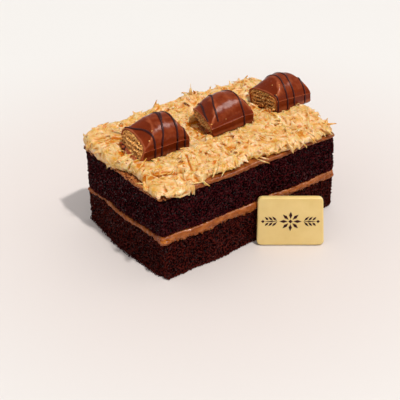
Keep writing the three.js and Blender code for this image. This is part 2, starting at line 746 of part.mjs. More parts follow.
function barGroup(bar) {
  const group = new THREE.Group();
  group.applyMatrix4(barMatrix(bar));
  group.add(
    namedMesh(`${bar.name}_coat`, coat(bar), COLOURS.coat, 0.35),
    namedMesh(`${bar.name}_wafer`, wafer(bar), COLOURS.wafer, 0.8),
    namedMesh(`${bar.name}_cream`, cream(bar), COLOURS.cream, 0.5),
  );
  return group;
}

// Outline with rounded corners
function roundedOutline(corners, radius) {
  const shape = new THREE.Shape();
  corners.forEach((corner, k) => {
    const before = corners[(k + corners.length - 1) % corners.length];
    const after = corners[(k + 1) % corners.length];
    const enter = corner.clone().add(before.clone().sub(corner).setLength(radius));
    const leave = corner.clone().add(after.clone().sub(corner).setLength(radius));
    if (k === 0) {
      shape.moveTo(enter.x, enter.y);
    } else {
      shape.lineTo(enter.x, enter.y);
    }
    shape.quadraticCurveTo(corner.x, corner.y, leave.x, leave.y);
  });
  shape.closePath();
  return shape;
}

// Rounded plaque with soft edges; it stands on its lower back edge and leans on the cake
function plaqueGroup() {
  const { width, topWidth, height, thickness, corner, edge } = PLAQUE;
  const top = height - edge;
  const corners = [[edge, edge], [width - edge, edge], [topWidth - edge, top], [edge, top]];
  const shape = roundedOutline(corners.map(([x, y]) => new THREE.Vector2(x, y)), corner - edge);
  const geometry = new THREE.ExtrudeGeometry(shape, {
    depth: thickness - 2 * edge, bevelEnabled: true, bevelSize: edge, bevelThickness: edge, bevelSegments: 2,
    curveSegments: 3, steps: 1,
  });
  geometry.translate(0, 0, edge - thickness);
  const mesh = namedMesh('plaque', fromSolid(toSolid(geometry)), COLOURS.plaque, 0.4);
  mesh.rotation.x = toRadians(90 - PLAQUE.lean);
  const group = new THREE.Group();
  group.add(mesh);
  group.rotation.z = toRadians(PLAQUE.turn);
  group.position.set(PLAQUE_CORNER.x, PLAQUE_CORNER.y, 0);
  group.position.z = -new THREE.Box3().setFromObject(group, true).min.z;
  return group;
}

const cake = new THREE.Group();
cake.add(
  namedMesh('sponge_lower', lowerSponge(), COLOURS.sponge, 0.95),
  namedMesh('filling', fillingLayer(), COLOURS.filling, 0.45),
  namedMesh('sponge_upper', upperSponge(), COLOURS.sponge, 0.95),
  namedMesh('spread', spreadLayer(), COLOURS.filling, 0.45),
  namedMesh('kunafa_topping', topping(), COLOURS.topping, 0.5),
  ...BARS.map(barGroup),
  plaqueGroup(),
);

export default cake;
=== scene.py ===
# Looks of a chocolate layer cake with a shredded pastry topping, wafer bars and a small plaque.
# Sizes are in millimetres until a mesh is made; Blender's own unit is the metre.
import json
import math
from collections import namedtuple

import bpy
import numpy as np
from mathutils import Matrix, Vector, noise
from mathutils.bvhtree import BVHTree

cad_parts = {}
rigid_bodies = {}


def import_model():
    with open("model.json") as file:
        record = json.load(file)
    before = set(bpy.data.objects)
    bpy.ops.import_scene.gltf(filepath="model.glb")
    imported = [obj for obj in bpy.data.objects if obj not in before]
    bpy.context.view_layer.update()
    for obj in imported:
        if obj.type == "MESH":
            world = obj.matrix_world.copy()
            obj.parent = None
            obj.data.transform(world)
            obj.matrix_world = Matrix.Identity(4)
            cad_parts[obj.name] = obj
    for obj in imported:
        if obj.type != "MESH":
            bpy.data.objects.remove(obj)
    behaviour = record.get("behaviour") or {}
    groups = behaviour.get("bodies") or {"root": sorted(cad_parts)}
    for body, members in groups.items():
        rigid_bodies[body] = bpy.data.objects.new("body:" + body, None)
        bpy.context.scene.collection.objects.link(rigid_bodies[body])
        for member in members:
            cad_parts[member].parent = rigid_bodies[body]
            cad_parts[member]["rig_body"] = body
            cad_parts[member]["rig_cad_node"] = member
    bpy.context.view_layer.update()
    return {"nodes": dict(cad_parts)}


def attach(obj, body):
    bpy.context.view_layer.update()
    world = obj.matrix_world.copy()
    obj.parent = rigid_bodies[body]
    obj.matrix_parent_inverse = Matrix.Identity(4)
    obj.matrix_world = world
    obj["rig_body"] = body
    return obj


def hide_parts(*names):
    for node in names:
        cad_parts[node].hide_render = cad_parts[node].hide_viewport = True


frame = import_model()

MM = 0.001
scene = bpy.context.scene
scene.view_settings.view_transform = "Standard"


# Camera
# It looks down on the cake from the front left, from about 0.6 m away, through a long lens.
CAMERA_PLACE = Vector((-0.30787, -0.40089, 0.33051))
CAMERA_TARGET = Vector((0.0009, 0.01309, 0))

bpy.ops.object.camera_add(location=CAMERA_PLACE)
camera = bpy.context.object
camera.rotation_euler = (CAMERA_TARGET - CAMERA_PLACE).to_track_quat("-Z", "Y").to_euler()
camera.data.lens = 99
camera.data.sensor_width = 36
camera.data.clip_start = 0.01
scene.camera = camera


# Table and light
# The cake stands on a plain pale table top, a little darker round the middle. A strong lamp stands
# high, in front and a little to the right; a wide panel hangs overhead, a small one to the right
# gives the gloss, and a pale room gives soft light from all sides.
LAMP_DISTANCE = 0.8
ROOM_COLOUR = (1.0, 0.985, 0.97, 1)
ROOM_STRENGTH = 0.38
TABLE_MIDDLE = (0.704, 0.645, 0.623, 1)
TABLE_COLOUR = (0.745, 0.733, 0.72, 1)
TABLE_FADE = (0.08, 0.24)
TABLE_SIZE = 6
TABLE_GAP = 0.0002


def feed(tree, node, sockets):
    """Joins each named socket to another node's output, or sets it to a value."""
    for label, source in sockets.items():
        if isinstance(source, bpy.types.NodeSocket):
            tree.links.new(source, node.inputs[label])
        else:
            node.inputs[label].default_value = source


def add_node(tree, kind, sockets=None, **settings):
    """A shader node with its settings and what feeds its sockets."""
    node = tree.nodes.new("ShaderNode" + kind)
    for label, value in settings.items():
        setattr(node, label, value)
    feed(tree, node, sockets or {})
    return node


def spanned(tree, value, low, high, ends=(0, 1), shape="LINEAR"):
    """A value from low to high, stretched to run from one end to the other."""
    sockets = {"Value": value, "From Min": low, "From Max": high, "To Min": ends[0], "To Max": ends[1]}
    return add_node(tree, "MapRange", sockets, interpolation_type=shape).outputs["Result"]


def mixed(tree, share, first, second):
    """The first colour, with so much of the second over it."""
    return add_node(tree, "MixRGB", {"Fac": share, "Color1": first, "Color2": second}).outputs["Color"]


def make_material(name, **sockets):
    """A material whose even values are set on the shader's own sockets."""
    material = bpy.data.materials.new(name)
    material.use_nodes = True
    tree = material.node_tree
    shader = tree.nodes["Principled BSDF"]
    feed(tree, shader, {label.replace("_", " "): value for label, value in sockets.items()})
    return material, tree, shader


bpy.ops.mesh.primitive_plane_add(size=TABLE_SIZE, location=(0, 0, -TABLE_GAP))
table = bpy.context.object
table.name = "table"
table_look, tree, shader = make_material("table_paint", Roughness=0.7)
table_place = add_node(tree, "TexCoord").outputs["Object"]
from_middle = add_node(tree, "VectorMath", {0: table_place}, operation="LENGTH").outputs["Value"]
fade = spanned(tree, from_middle, *TABLE_FADE, shape="SMOOTHSTEP")
feed(tree, shader, {"Base Color": mixed(tree, fade, TABLE_MIDDLE, TABLE_COLOUR)})
table.data.materials.append(table_look)


def add_lamp(kind, name, direction, **settings):
    """A lamp that lights the cake from a direction."""
    direction = Vector(direction)
    bpy.ops.object.light_add(type=kind, location=direction * LAMP_DISTANCE)
    lamp = bpy.context.object
    lamp.name = name
    lamp.rotation_euler = direction.to_track_quat("Z", "Y").to_euler()
    for label, value in settings.items():
        setattr(lamp.data, label, value)
    return lamp


add_lamp("SUN", "key", (0.045, -0.447, 0.893), energy=2.15, color=(1, 0.97, 0.93), angle=math.radians(3))
panel = add_lamp("SUN", "panel", (0.05, 0.3, 0.95), energy=0.95, color=(1, 0.985, 0.97),
                 angle=math.radians(120))
panel.visible_glossy = False
gloss_panel = add_lamp("AREA", "gloss_panel", (0.504, -0.328, 0.799), energy=6, color=(1, 0.84, 0.78),
                       size=0.24)
gloss_panel.visible_diffuse = False

room = bpy.data.worlds.new("pale_room")
room.use_nodes = True
feed(room.node_tree, room.node_tree.nodes["Background"], {"Color": ROOM_COLOUR, "Strength": ROOM_STRENGTH})
scene.world = room


# Lower sponge
# A slab of dark chocolate sponge, cut on all four sides, so that its open crumb shows, with pores up
# to a millimetre wide. The upper sponge is made the same way.
SLAB_HALF = np.array([56.2, 35.1])
SLAB_CORNER = 1.3
SPONGE_TOP = 45
TOP_SLIDE = -2.2
WAVE_DEPTH = 0.45
WAVE_LENGTH = 31
WALL_CELL = 0.36
GAP = 0.3
EDGE_GAP = 0.05
EDGE_BAND = 6
RELIEF_LEVELS = {"CLOUDS": 0.5, "VORONOI": 0.75}
FILLING_LOW = 20
FILLING_HIGH = 23.2
SPREAD_LOW = 45.2
SPREAD_HIGH = 46.8
FILLING_MIDDLE = {
    "front": [(-56, 22.3), (-37, 21.7), (-8, 21.4), (10, 21.8), (28, 21.5), (56, 21.1)],
    "right": [(-35, 21.4), (0, 20.6), (35, 19.4)],
    "back": [(-56, 18), (0, 19.6), (56, 19.4)],
    "left": [(-35, 22.5), (-26, 21.3), (-9, 20.5), (9, 20), (35, 18.3)],
}
FILLING_THICKNESS = {
    "front": [(-56, 4), (-34, 4.3), (-17, 3.1), (-6, 4.6), (12, 3.4), (38, 2.7), (56, 4)],
    "right": [(-35, 4), (-8, 2.6), (14, 3.4), (35, 2.4)],
    "back": [(-56, 2.2), (-20, 3.2), (10, 2.2), (56, 2.6)],
    "left": [(-35, 4), (-25, 2.1), (12, 1.8), (19, 0.7), (27, 0.7), (31, 2), (35, 2.1)],
}


def slab_outline():
    """Places round the slab, anticlockwise from the near left corner, with rounded corners."""
    arcs = []
    for sx, sy, start in ((-1, -1, 180), (1, -1, 270), (1, 1, 0), (-1, 1, 90)):
        turn = np.radians(start + np.linspace(0, 90, 9))
        centre = SLAB_HALF - SLAB_CORNER
        arcs.append(np.array([sx, sy]) * centre + SLAB_CORNER * np.c_[np.cos(turn), np.sin(turn)])
    loop = np.vstack(arcs + [arcs[0][:1]])
    length = np.r_[0, np.cumsum(np.hypot(*np.diff(loop, axis=0).T))]
    places = np.linspace(0, length[-1], int(length[-1] / WALL_CELL) + 1)
    return np.c_[np.interp(places, length, loop[:, 0]), np.interp(places, length, loop[:, 1])][:-1]


OUTLINE = slab_outline()
OUTWARD = OUTLINE / SLAB_HALF
OUTWARD /= np.abs(OUTWARD).max(axis=1, keepdims=True)
ON_LONG_SIDE = np.abs(OUTWARD[:, 1]) >= 0.9999
SIDE_OF = np.where(ON_LONG_SIDE, np.where(OUTWARD[:, 1] < 0, "front", "back"),
                   np.where(OUTWARD[:, 0] > 0, "right", "left"))
ALONG = np.where(ON_LONG_SIDE, OUTLINE[:, 0], OUTLINE[:, 1])


def eased(points, at):
    """Values between the points of a short list, eased at each point."""
    x, y = np.array(points, float).T
    k = np.clip(np.searchsorted(x, at) - 1, 0, len(x) - 2)
    share = np.clip((at - x[k]) / (x[k + 1] - x[k]), 0, 1)
    return y[k] + (y[k + 1] - y[k]) * share * share * (3 - 2 * share)


def evened(values, width=4):
    """Values round the slab, evened out over a few millimetres so that no corner has a step."""
    reach = int(width / WALL_CELL)
    weight = np.hanning(2 * reach + 3)[1:-1]
    wrapped = np.concatenate([values[..., -reach:], values, values[..., :reach]], axis=-1)
    return np.apply_along_axis(np.convolve, -1, wrapped, weight / weight.sum(), "valid")


def round_slab(lists):
    """A value round the slab from the lists of its four sides."""
    value = np.zeros(len(OUTLINE))
    for side, points in lists.items():
        here = SIDE_OF == side
        value[here] = eased(points, ALONG[here])
    return evened(value, 2.5)


def bell(distance, width):
    """1 in the middle, and falling smoothly to nothing at about twice the width."""
    return np.exp(-(distance / width) ** 2)


def beside_slab(height, out):
    """Points beside the side faces at a height, and so far out from them. The faces wave a little,
    and the left and front ones run out towards their foot."""
    height = np.broadcast_to(height, (len(OUTLINE),))
    wave = WAVE_DEPTH * np.sin(ALONG * 2 * math.pi / WAVE_LENGTH + height / 12)
    share = np.clip(height / SPONGE_TOP, 0, 1)
    ends = 0.7 * bell(ALONG + 35, 5) + 0.65 * bell(ALONG - 35, 8)
    left_foot = 2.8 * np.exp(-height / 5) * (1 - ends)
    front_foot = 2.9 * np.exp(-height / 7) * bell(ALONG + 30, 44)
    belly = {
        "left": 0.4 * wave + 1.9 * bell(ALONG, 14) * (1 - share) + left_foot,
        "front": wave + front_foot,
        "right": wave - 0.5 * share,
        "back": wave,
    }
    swell = evened(sum(np.where(SIDE_OF == side, value, 0) for side, value in belly.items())) + out
    slide = np.c_[TOP_SLIDE * height / SPONGE_TOP, np.zeros(len(OUTLINE))]
    return np.c_[OUTLINE + slide + OUTWARD * swell[:, None], height]


def only(piece):
    """Makes one piece the selected and active one."""
    bpy.ops.object.select_all(action="DESELECT")
    piece.select_set(True)
    bpy.context.view_layer.objects.active = piece


def sealed(piece, gap):
    """Merges a piece's points closer than a gap, closes its ends, and turns its faces outwards."""
    only(piece)
    bpy.ops.object.mode_set(mode="EDIT")
    bpy.ops.mesh.select_all(action="SELECT")
    bpy.ops.mesh.remove_doubles(threshold=gap)
    bpy.ops.mesh.fill_holes(sides=0)
    bpy.ops.mesh.select_all(action="SELECT")
    bpy.ops.mesh.normals_make_consistent(inside=False)
    bpy.ops.object.mode_set(mode="OBJECT")
    return piece


def wrapped_sheet(name, rows):
    """A sheet of rows of places, wrapped round into a tube, with both its ends closed."""
    rows = np.asarray(rows, float)
    count, round_count = rows.shape[:2]
    bpy.ops.mesh.primitive_grid_add(x_subdivisions=round_count, y_subdivisions=count - 1)
    piece = bpy.context.object
    piece.name = piece.data.name = name
    closed = np.concatenate([rows, rows[:, :1]], axis=1) * MM
    piece.data.vertices.foreach_set("co", closed.reshape(-1))
    return sealed(piece, 1e-7)


def apply_modifiers(piece):
    """Makes a piece's modifiers part of its mesh."""
    only(piece)
    for modifier in list(piece.modifiers):
        bpy.ops.object.modifier_apply(modifier=modifier.name)


def add_relief(piece, *reliefs):
    """Pushes the surface in and out by patterns, each of a kind, a grain (mm) and a depth (mm)."""
    for kind, grain, depth in reliefs:
        texture = bpy.data.textures.new(f"{piece.name}_{kind.lower()}_{grain}", kind)
        texture.noise_scale = grain * MM
        modifier = piece.modifiers.new(kind.lower(), "DISPLACE")
        modifier.texture = texture
        modifier.texture_coords = "LOCAL"
        modifier.strength = depth * MM
        modifier.mid_level = RELIEF_LEVELS[kind]
    apply_modifiers(piece)


def finish_piece(piece, material, slot, *nodes):
    """Gives a piece its material, says what it rides on, and hides the solids it stands for."""
    piece.data.materials.clear()
    piece.data.materials.append(material)
    only(piece)
    bpy.ops.object.shade_smooth()
    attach(piece, "root")
    if nodes:
        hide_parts(*nodes)


def layer_rows(low_inner, high_inner, low_edge, high_edge, bulge, tuck=0.35):
    """Rows of a layer from its underside over its side face to its upper face."""
    cells = int(np.median(high_edge - low_edge) / WALL_CELL) + 2
    rows = [beside_slab(low_inner, -EDGE_BAND), beside_slab(low_edge, -tuck)]
    for share in np.linspace(0, 1, cells + 1):
        height = low_edge + (high_edge - low_edge) * share
        rim = tuck * (2 * share - 1) ** 8
        rows.append(beside_slab(height, bulge * math.sin(math.pi * share) - rim))
    rows += [beside_slab(high_edge, -tuck - 0.2), beside_slab(high_inner, -EDGE_BAND)]
    return rows


def new_group(name, inputs, outputs):
    """An empty shader group with named sockets."""
    tree = bpy.data.node_groups.new(name, "ShaderNodeTree")
    for label, kind in inputs.items():
        tree.interface.new_socket(label, in_out="INPUT", socket_type="NodeSocket" + kind)
    for label in outputs:
        tree.interface.new_socket(label, in_out="OUTPUT", socket_type="NodeSocketFloat")
    return tree, tree.nodes.new("NodeGroupInput").outputs, tree.nodes.new("NodeGroupOutput")


def mottle_group():
    """Cloudy pattern of a grain, for colour, and a finer one, for relief and gloss."""
    tree, given, result = new_group("mottle", {"Grain": "Float", "Stretch": "Vector"},
                                    ("Mottle", "Fine", "Relief"))
    place = add_node(tree, "TexCoord").outputs["Object"]
    stretched = add_node(tree, "VectorMath", {0: place, 1: given["Stretch"]}, operation="MULTIPLY")
    finer = add_node(tree, "Math", {0: given["Grain"], 1: 3.1}, operation="MULTIPLY")
    clouds = {"Vector": stretched.outputs["Vector"], "Detail": 3, "Roughness": 0.6}
    coarse = add_node(tree, "TexNoise", {**clouds, "Scale": given["Grain"]}).outputs["Fac"]
    fine = add_node(tree, "TexNoise", {**clouds, "Scale": finer.outputs["Value"]}).outputs["Fac"]
    both = add_node(tree, "Math", {0: fine, 1: 0.5, 2: coarse}, operation="MULTIPLY_ADD")
    feed(tree, result, {"Mottle": coarse, "Fine": fine, "Relief": both.outputs["Value"]})
    return tree


def hollow_group():
    """Mask of the hollows of a piece, from the marks on its mesh, for painted shade or painted highlight."""
    tree, given, result = new_group("hollows", {"Low": "Float", "High": "Float"}, ("Hollow",))
    marks = add_node(tree, "Attribute", attribute_name="hollow").outputs["Fac"]
    feed(tree, result, {"Hollow": spanned(tree, marks, given["Low"], given["High"])})
    return tree


MOTTLE = mottle_group()
HOLLOWS = hollow_group()


def food_look(name, colours, grain, relief, gloss, stretch=(1, 1, 1), hollow=None, glints=None, **sockets):
    """A mottled material with a fine relief (mm) and uneven gloss. It may have a colour that grows
    from one hollow mark to another: painted shade in the pits, or, with the marks given the other way
    round, a painted highlight on the crests. It may also have wet glints here and there that catch the light."""
    material, tree, shader = make_material(name, **sockets)
    mottle = add_node(tree, "Group", {"Grain": grain, "Stretch": stretch}, node_tree=MOTTLE).outputs
    ramp = add_node(tree, "ValToRGB", {"Fac": mottle["Mottle"]})
    stops = ramp.color_ramp.elements
    for stop, (position, *shade) in zip(stops, (colours[0], colours[-1])):
        stop.position, stop.color = position, (*shade, 1)
    for position, *shade in colours[1:-1]:
        stops.new(position).color = (*shade, 1)
    colour = ramp.outputs["Color"]
    if hollow:
        low, high, shade = hollow
        mask = add_node(tree, "Group", {"Low": low, "High": high}, node_tree=HOLLOWS).outputs["Hollow"]
        colour = mixed(tree, mask, colour, (*shade, 1))
    bump = add_node(tree, "Bump", {"Height": mottle["Relief"], "Strength": 1, "Distance": relief * MM})
    feed(tree, shader, {"Base Color": colour, "Roughness": spanned(tree, mottle["Fine"], 0.35, 0.65, gloss),
                        "Normal": bump.outputs["Normal"]})
    if glints:
        grain, low, high = glints
        specks = add_node(tree, "Group", {"Grain": grain, "Stretch": (1, 1, 1)}, node_tree=MOTTLE).outputs
        feed(tree, shader, {"Coat Weight": spanned(tree, specks["Mottle"], low, high)})
    return material


def read_places(items, label):
    """A vector of each of a mesh's items, such as its vertices' places, as rows."""
    values = np.empty(len(items) * 3)
    items.foreach_get(label, values)
    return values.reshape(-1, 3)


def mark_hollows(piece, passes, depth, sides=0, more=0):
    """Marks how far each point lies below what is round it: 0 on crests, 0.5 level, 1 in pits. The
    materials paint shade or highlight by these marks. Steep sides count as so much lower, for more
    painted shade on them, and more, such as painted shade marked elsewhere, is added at the end."""
    mesh = piece.data
    places, ways = read_places(mesh.vertices, "co"), read_places(mesh.vertices, "normal")
    ends = np.empty(len(mesh.edges) * 2, int)
    mesh.edges.foreach_get("vertices", ends)
    near, far = np.r_[ends[::2], ends[1::2]], np.r_[ends[1::2], ends[::2]]
    count = np.maximum(np.bincount(near, minlength=len(places)), 1)
    soft = places
    for _ in range(passes):
        soft = np.stack([np.bincount(near, soft[far, k], len(places)) / count for k in range(3)], axis=1)
    below = ((soft - places) * ways).sum(axis=1) / (2 * depth * MM)
    below += sides * np.clip(0.5 - ways[:, 2], 0, 1)
    marks = np.clip(np.clip(0.5 + below, 0, 1) + more, 0, 1)
    mesh.attributes.new("hollow", "FLOAT", "POINT").data.foreach_set("value", marks)


def sponge_look(name, crest, middle, pore_shade):
    """Dark, moist crumb: reddish crumbs, near black painted shade in the pores, and a few wet specks."""
    return food_look(name, [(0.3, *middle), (0.66, *crest)], 700, 0.25, (0.75, 0.95),
                     hollow=(0.4, 0.57, pore_shade), glints=(1300, 0.59, 0.65), Specular_IOR_Level=0,
                     Coat_Roughness=0.15)


def open_crumb(piece):
    """Pores and lumps of the cut faces, marked for the painted shade in the pores."""
    add_relief(piece, ("VORONOI", 0.95, 1.2), ("CLOUDS", 2.8, 1.0), ("CLOUDS", 0.5, 0.6))
    mark_hollows(piece, 5, 0.3)
    return piece


# Drips of the filling's lower edge along the front: place, width and drop.
FILLING_DRIPS = [(-43.2, 0.9, 1), (-36.5, 0.9, 1), (-26.8, 1.7, 1.2), (-17, 1.3, 0.9), (24, 1.2, 0.7)]
filling_low = round_slab(FILLING_MIDDLE) - round_slab(FILLING_THICKNESS) / 2
for middle, width, drop in FILLING_DRIPS:
    filling_low -= drop * bell(ALONG - middle, width) * (SIDE_OF == "front")
filling_high = round_slab(FILLING_MIDDLE) + round_slab(FILLING_THICKNESS) / 2
floor_line = np.full(len(OUTLINE), EDGE_GAP)
lower_rows = layer_rows(EDGE_GAP, FILLING_LOW - GAP, floor_line, filling_low - EDGE_GAP, 0)
sponge_lower = open_crumb(wrapped_sheet("lower_crumb", lower_rows))
# The last colour is painted shade in the pores.
lower_material = sponge_look("lower_sponge", (0.08, 0.0105, 0.007), (0.017, 0.0026, 0.0026),
                             (0.003, 0.0005, 0.0006))
finish_piece(sponge_lower, lower_material, "sponge", "sponge_lower")


# Filling
# A soft, glossy layer of caramel spread between the sponges. It was put on with a knife and pressed
# out by the weight above: it bulges, thins and smears over the crumb below.
FILLING_BULGE = {
    "front": [(-56, 1.8), (-50, 0.5), (-36, 0.8), (-17, 0.2), (-6, 0.7), (20, 0.4), (40, 0.6), (56, -0.1)],
    "right": [(-35, -0.1), (0, 0.2), (35, 0.5)],
    "back": [(-56, 0.2), (-10, 0.6), (56, 0.4)],
    "left": [(-35, 1.8), (-29, 0.3), (12, 0.4), (19, -0.6), (27, -0.6), (35, 0.3)],
}


def ragged(width, seed, depth):
    """Uneven line round the slab, for an edge that is smeared by a knife."""
    ring = [Vector((x / width, y / width, seed)) for x, y in OUTLINE]
    return depth * np.array([noise.fractal(place, 0.8, 2.1, 4) for place in ring])


filling_rows = layer_rows(FILLING_LOW, FILLING_HIGH, filling_low - 0.25 + ragged(3.2, 4, 0.55),
                          filling_high + 0.05 + ragged(5, 9, 0.3), round_slab(FILLING_BULGE) + 0.25, 0.15)
filling = wrapped_sheet("caramel_filling", filling_rows)
add_relief(filling, ("CLOUDS", 2.4, 1.1), ("CLOUDS", 0.9, 0.45))
# Marks for the caramel's painted shade in its hollows.
mark_hollows(filling, 6, 0.3)


def caramel_look(name, dark, middle, light):
    """Glossy caramel: smeared streaks, painted brown shade in the hollows, and wet glints."""
    return food_look(name, [(0.3, *dark), (0.48, *middle), (0.7, *light)], 330, 0.2, (0.22, 0.4),
                     stretch=(0.5, 0.5, 1.6), hollow=(0.58, 0.9, (0.09, 0.016, 0.004)),
                     glints=(700, 0.56, 0.68), Specular_IOR_Level=0.2, Coat_Roughness=0.15)


caramel_material = caramel_look("caramel", (0.18, 0.033, 0.004), (0.3, 0.074, 0.011), (0.43, 0.13, 0.025))
finish_piece(filling, caramel_material, "filling", "filling")

# A drop of clear caramel has run out at the near corner.
BEAD_HALF = (2.6, 1.6, 1.1)
BEAD_TURN = -25
BEAD_PLACE = (-56.9, -36.1, 22.9)
bpy.ops.mesh.primitive_uv_sphere_add(segments=40, ring_count=24, radius=1)
bead = bpy.context.object
bead.name = bead.data.name = "caramel_bead"
bead.data.transform(Matrix.Diagonal((*BEAD_HALF, 1)))
bead.data.transform(Matrix.Rotation(math.radians(BEAD_TURN), 4, "Z"))
bead.data.transform(Matrix.Scale(MM, 4) @ Matrix.Translation(BEAD_PLACE))
add_relief(bead, ("CLOUDS", 1.6, 1.2))
BEAD_COLOURS = [(0.35, 0.26, 0.05, 0.003), (0.65, 0.52, 0.15, 0.01)]
bead_material = food_look("clear_caramel", BEAD_COLOURS, 500, 0.2, (0.1, 0.2), Specular_IOR_Level=0.6)
finish_piece(bead, bead_material, "filling")


# Upper sponge
# The second slab of the same cake lies on the filling.
SPONGE_EDGE = {
    "front": [(-56, 46.4), (-42, 45.6), (-28, 45.2), (30, 44.8), (56, 44.6)],
    "right": [(-35, 44.6), (0, 45), (35, 44.4)],
    "back": [(-56, 43.4), (0, 45), (56, 44.4)],
    "left": [(-35, 46.4), (-24, 44.6), (0, 44.4), (35, 43.4)],
}
sponge_edge = round_slab(SPONGE_EDGE)
upper_rows = layer_rows(FILLING_HIGH + GAP, SPREAD_LOW - GAP, filling_high + EDGE_GAP, sponge_edge, 0)
sponge_upper = open_crumb(wrapped_sheet("upper_crumb", upper_rows))
# The last colour is painted shade in the pores.
upper_material = sponge_look("upper_sponge", (0.064, 0.007, 0.0085), (0.011, 0.0017, 0.0025),
                             (0.0015, 0.0003, 0.0005))
finish_piece(sponge_upper, upper_material, "sponge", "sponge_upper")


# Spread on the upper sponge
# The same caramel, thinner, and smoothed by a knife along the front. The topping sticks to it.
SPREAD_THICKNESS = {
    "front": [(-56, 1), (-38, 2.3), (-20, 1.5), (0, 1.8), (25, 1.4), (56, 1.5)],
    "right": [(-35, 1.5), (0, 1.1), (35, 1.5)],
    "back": [(-56, 1.2), (0, 1.7), (56, 1.5)],
    "left": [(-35, 1), (-14, 1.6), (10, 1.1), (35, 1.2)],
}
spread_edge = sponge_edge + GAP + round_slab(SPREAD_THICKNESS)
spread_rows = layer_rows(SPREAD_LOW, SPREAD_HIGH, sponge_edge - 0.15 + ragged(4, 21, 0.35), spread_edge + 0.1,
                         np.full(len(OUTLINE), 0.45), 0.15)
spread = wrapped_sheet("caramel_spread", spread_rows)
add_relief(spread, ("CLOUDS", 2.4, 0.5), ("CLOUDS", 0.9, 0.5))
# Marks for painted shade in the hollows. The spread's caramel colours are darker than the filling's: painted
# shade from the topping that hangs over it.
mark_hollows(spread, 6, 0.3)
shaded_spread_material = caramel_look("caramel_spread", (0.155, 0.028, 0.003), (0.26, 0.06, 0.008),
                               (0.375, 0.107, 0.019))
finish_piece(spread, shaded_spread_material, "spread", "spread")


# Kunafa topping
# Fine pastry shreds are stirred into a thick pale cream and heaped on the cake. The solid gives the
# heap its form; lumps are raised on it, shreds that the cream coats are fused to it, and creases are
# pressed into it. It gives way where the bars lie.
random = np.random.default_rng(7)
HEAP_VOXEL = 0.8
HEAP_FLOOR = 47.15
HEAP_INSIDE = (48, 28)
HEAP_FRONT = -33
CREAM_VOXEL = 0.42
CREAM_TRIANGLES = 190_000
COATED_COUNT = 950
COATED_EDGE_SHARE = 0.14
COATED_SIZES = ((5, 14), (1, 2.3), (0.7, 1.1))
COATED_KEPT = ([-60, -30, 40], [0.3, 0.7, 1])
SMALL_CREASES = 70
UPRIGHT_SHRED = Vector((10.2, 33.6))
UPRIGHT_SHRED_FOOT = 52.5
LOWEST_SHRED = 45.5
BAR_HALF = 11.1

# Each bar's place and turns, its length, the heights of its dome and side band, and the slant, skew
# and undercut of its cut.
BARS = [
    dict(name="bar_left", x=-47.1, y=5.6, z=51.3, turn=1.4, pitch=2.9, roll=2.2, length=27.6, dome=11.2,
         cut_dome=4.6, slant=-0.35, skew=0.04, band=(5.2, 5.5), tilt=0.11, undercut=3),
    dict(name="bar_middle", x=-5.8, y=3, z=51.7, turn=2.6, pitch=1.4, roll=-4.5, length=26.6, dome=11.4,
         cut_dome=4.9, slant=0.37, skew=0.3, band=(4.2, 5.2), tilt=0.1, near=-0.09),
    dict(name="bar_right", x=36, y=3.2, z=51.3, turn=2.8, pitch=3.2, roll=-7.5, length=25.2, dome=10.6,
         cut_dome=3.9, slant=0.14, skew=0, band=(6, 5), tilt=0.02, far=0.02),
]

# Lines pressed into the heap: start, end, width and depth. The lip is the height of the heap's lower
# edge along the front. The hollows given painted shade have a place and a reach, the swells a height too.
CREASES = [
    ((8.7, 33.6), (11.6, 32.9), 0.8, 2.4), ((-6.6, 29.6), (-5.2, 28.8), 0.6, 1.6),
    ((-57, 25.6), (-50.4, 21.6), 0.7, 1.8), ((-50.4, 21.6), (-44.2, 18.9), 0.7, 1.8),
    ((-54, 28.6), (-51, 27.3), 0.5, 1.4), ((-49.5, 11.8), (-54.1, 4), 0.9, 1.8),
    ((-58, -2.7), (-56, -4.4), 0.7, 1.8), ((-49.4, -21.6), (-39.2, -24.6), 1.9, 3.6),
    ((-52.1, -17), (-49.7, -20.5), 0.9, 1.9), ((-29.2, -16), (-34.1, -27.2), 0.6, 1.9),
    ((-34.8, -31.5), (-34.9, -33.7), 0.9, 2.6), ((4.9, -15.6), (5.1, -18.3), 0.7, 2.2),
    ((-7.8, -16.9), (-6, -17.8), 0.6, 1.7), ((32.8, -23.4), (34.2, -25.4), 0.7, 1.9),
    ((41.6, -24.8), (40.1, -28.5), 0.6, 1.8), ((-7.4, 12), (-7.4, -5), 1.5, 1.8),
    ((33.6, 9), (34, -6), 1.4, 1.6),
]
FRONT_LIP = [(-63, 49.6), (-57, 49.2), (-53, 48.4), (-46.7, 46.5), (-41.3, 45), (-39, 46.4), (62, 46.4)]
SHADED_HOLLOWS = [
    (-53, -21.4, 2.2), (-49.6, -21, 2.6), (-46.4, -22, 2.6), (-43, -23.4, 2), (-56.4, -19, 1.6),
    (-48, 20.6, 2.4), (-52.6, 18.4, 2), (-53.4, 7, 1.8), (-51, -4, 2.2), (-53, -9.6, 1.8),
    (-39.6, -33.6, 2.4), (-36.6, -21.4, 1.4), (-6, -21.8, 1.8), (14, -23, 1.8), (33, -30.4, 2),
    (-21, -28.6, 1.6),
]
SWELLS = [(3, 37, 11, 3.6), (-26, 37, 5, 2), (57, -18, 9, 2.8), (-46, 36, 9, 1)]

HEAP_TOP_FROM = 47
HEAP_EDGE_FROM = (50, 30)
CREASES_FROM = 49
BAR_FOOT = -1.2
BAR_ROOM = 0.35


def copy_of_node(label, name):
    """A loose copy of a solid, no longer marked as one, with its doubled points merged."""
    piece = frame["nodes"][label].copy()
    piece.data = piece.data.copy()
    piece.name = piece.data.name = name
    piece.parent = None
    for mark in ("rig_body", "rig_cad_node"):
        del piece[mark]
    scene.collection.objects.link(piece)
    return sealed(piece, 1e-6)


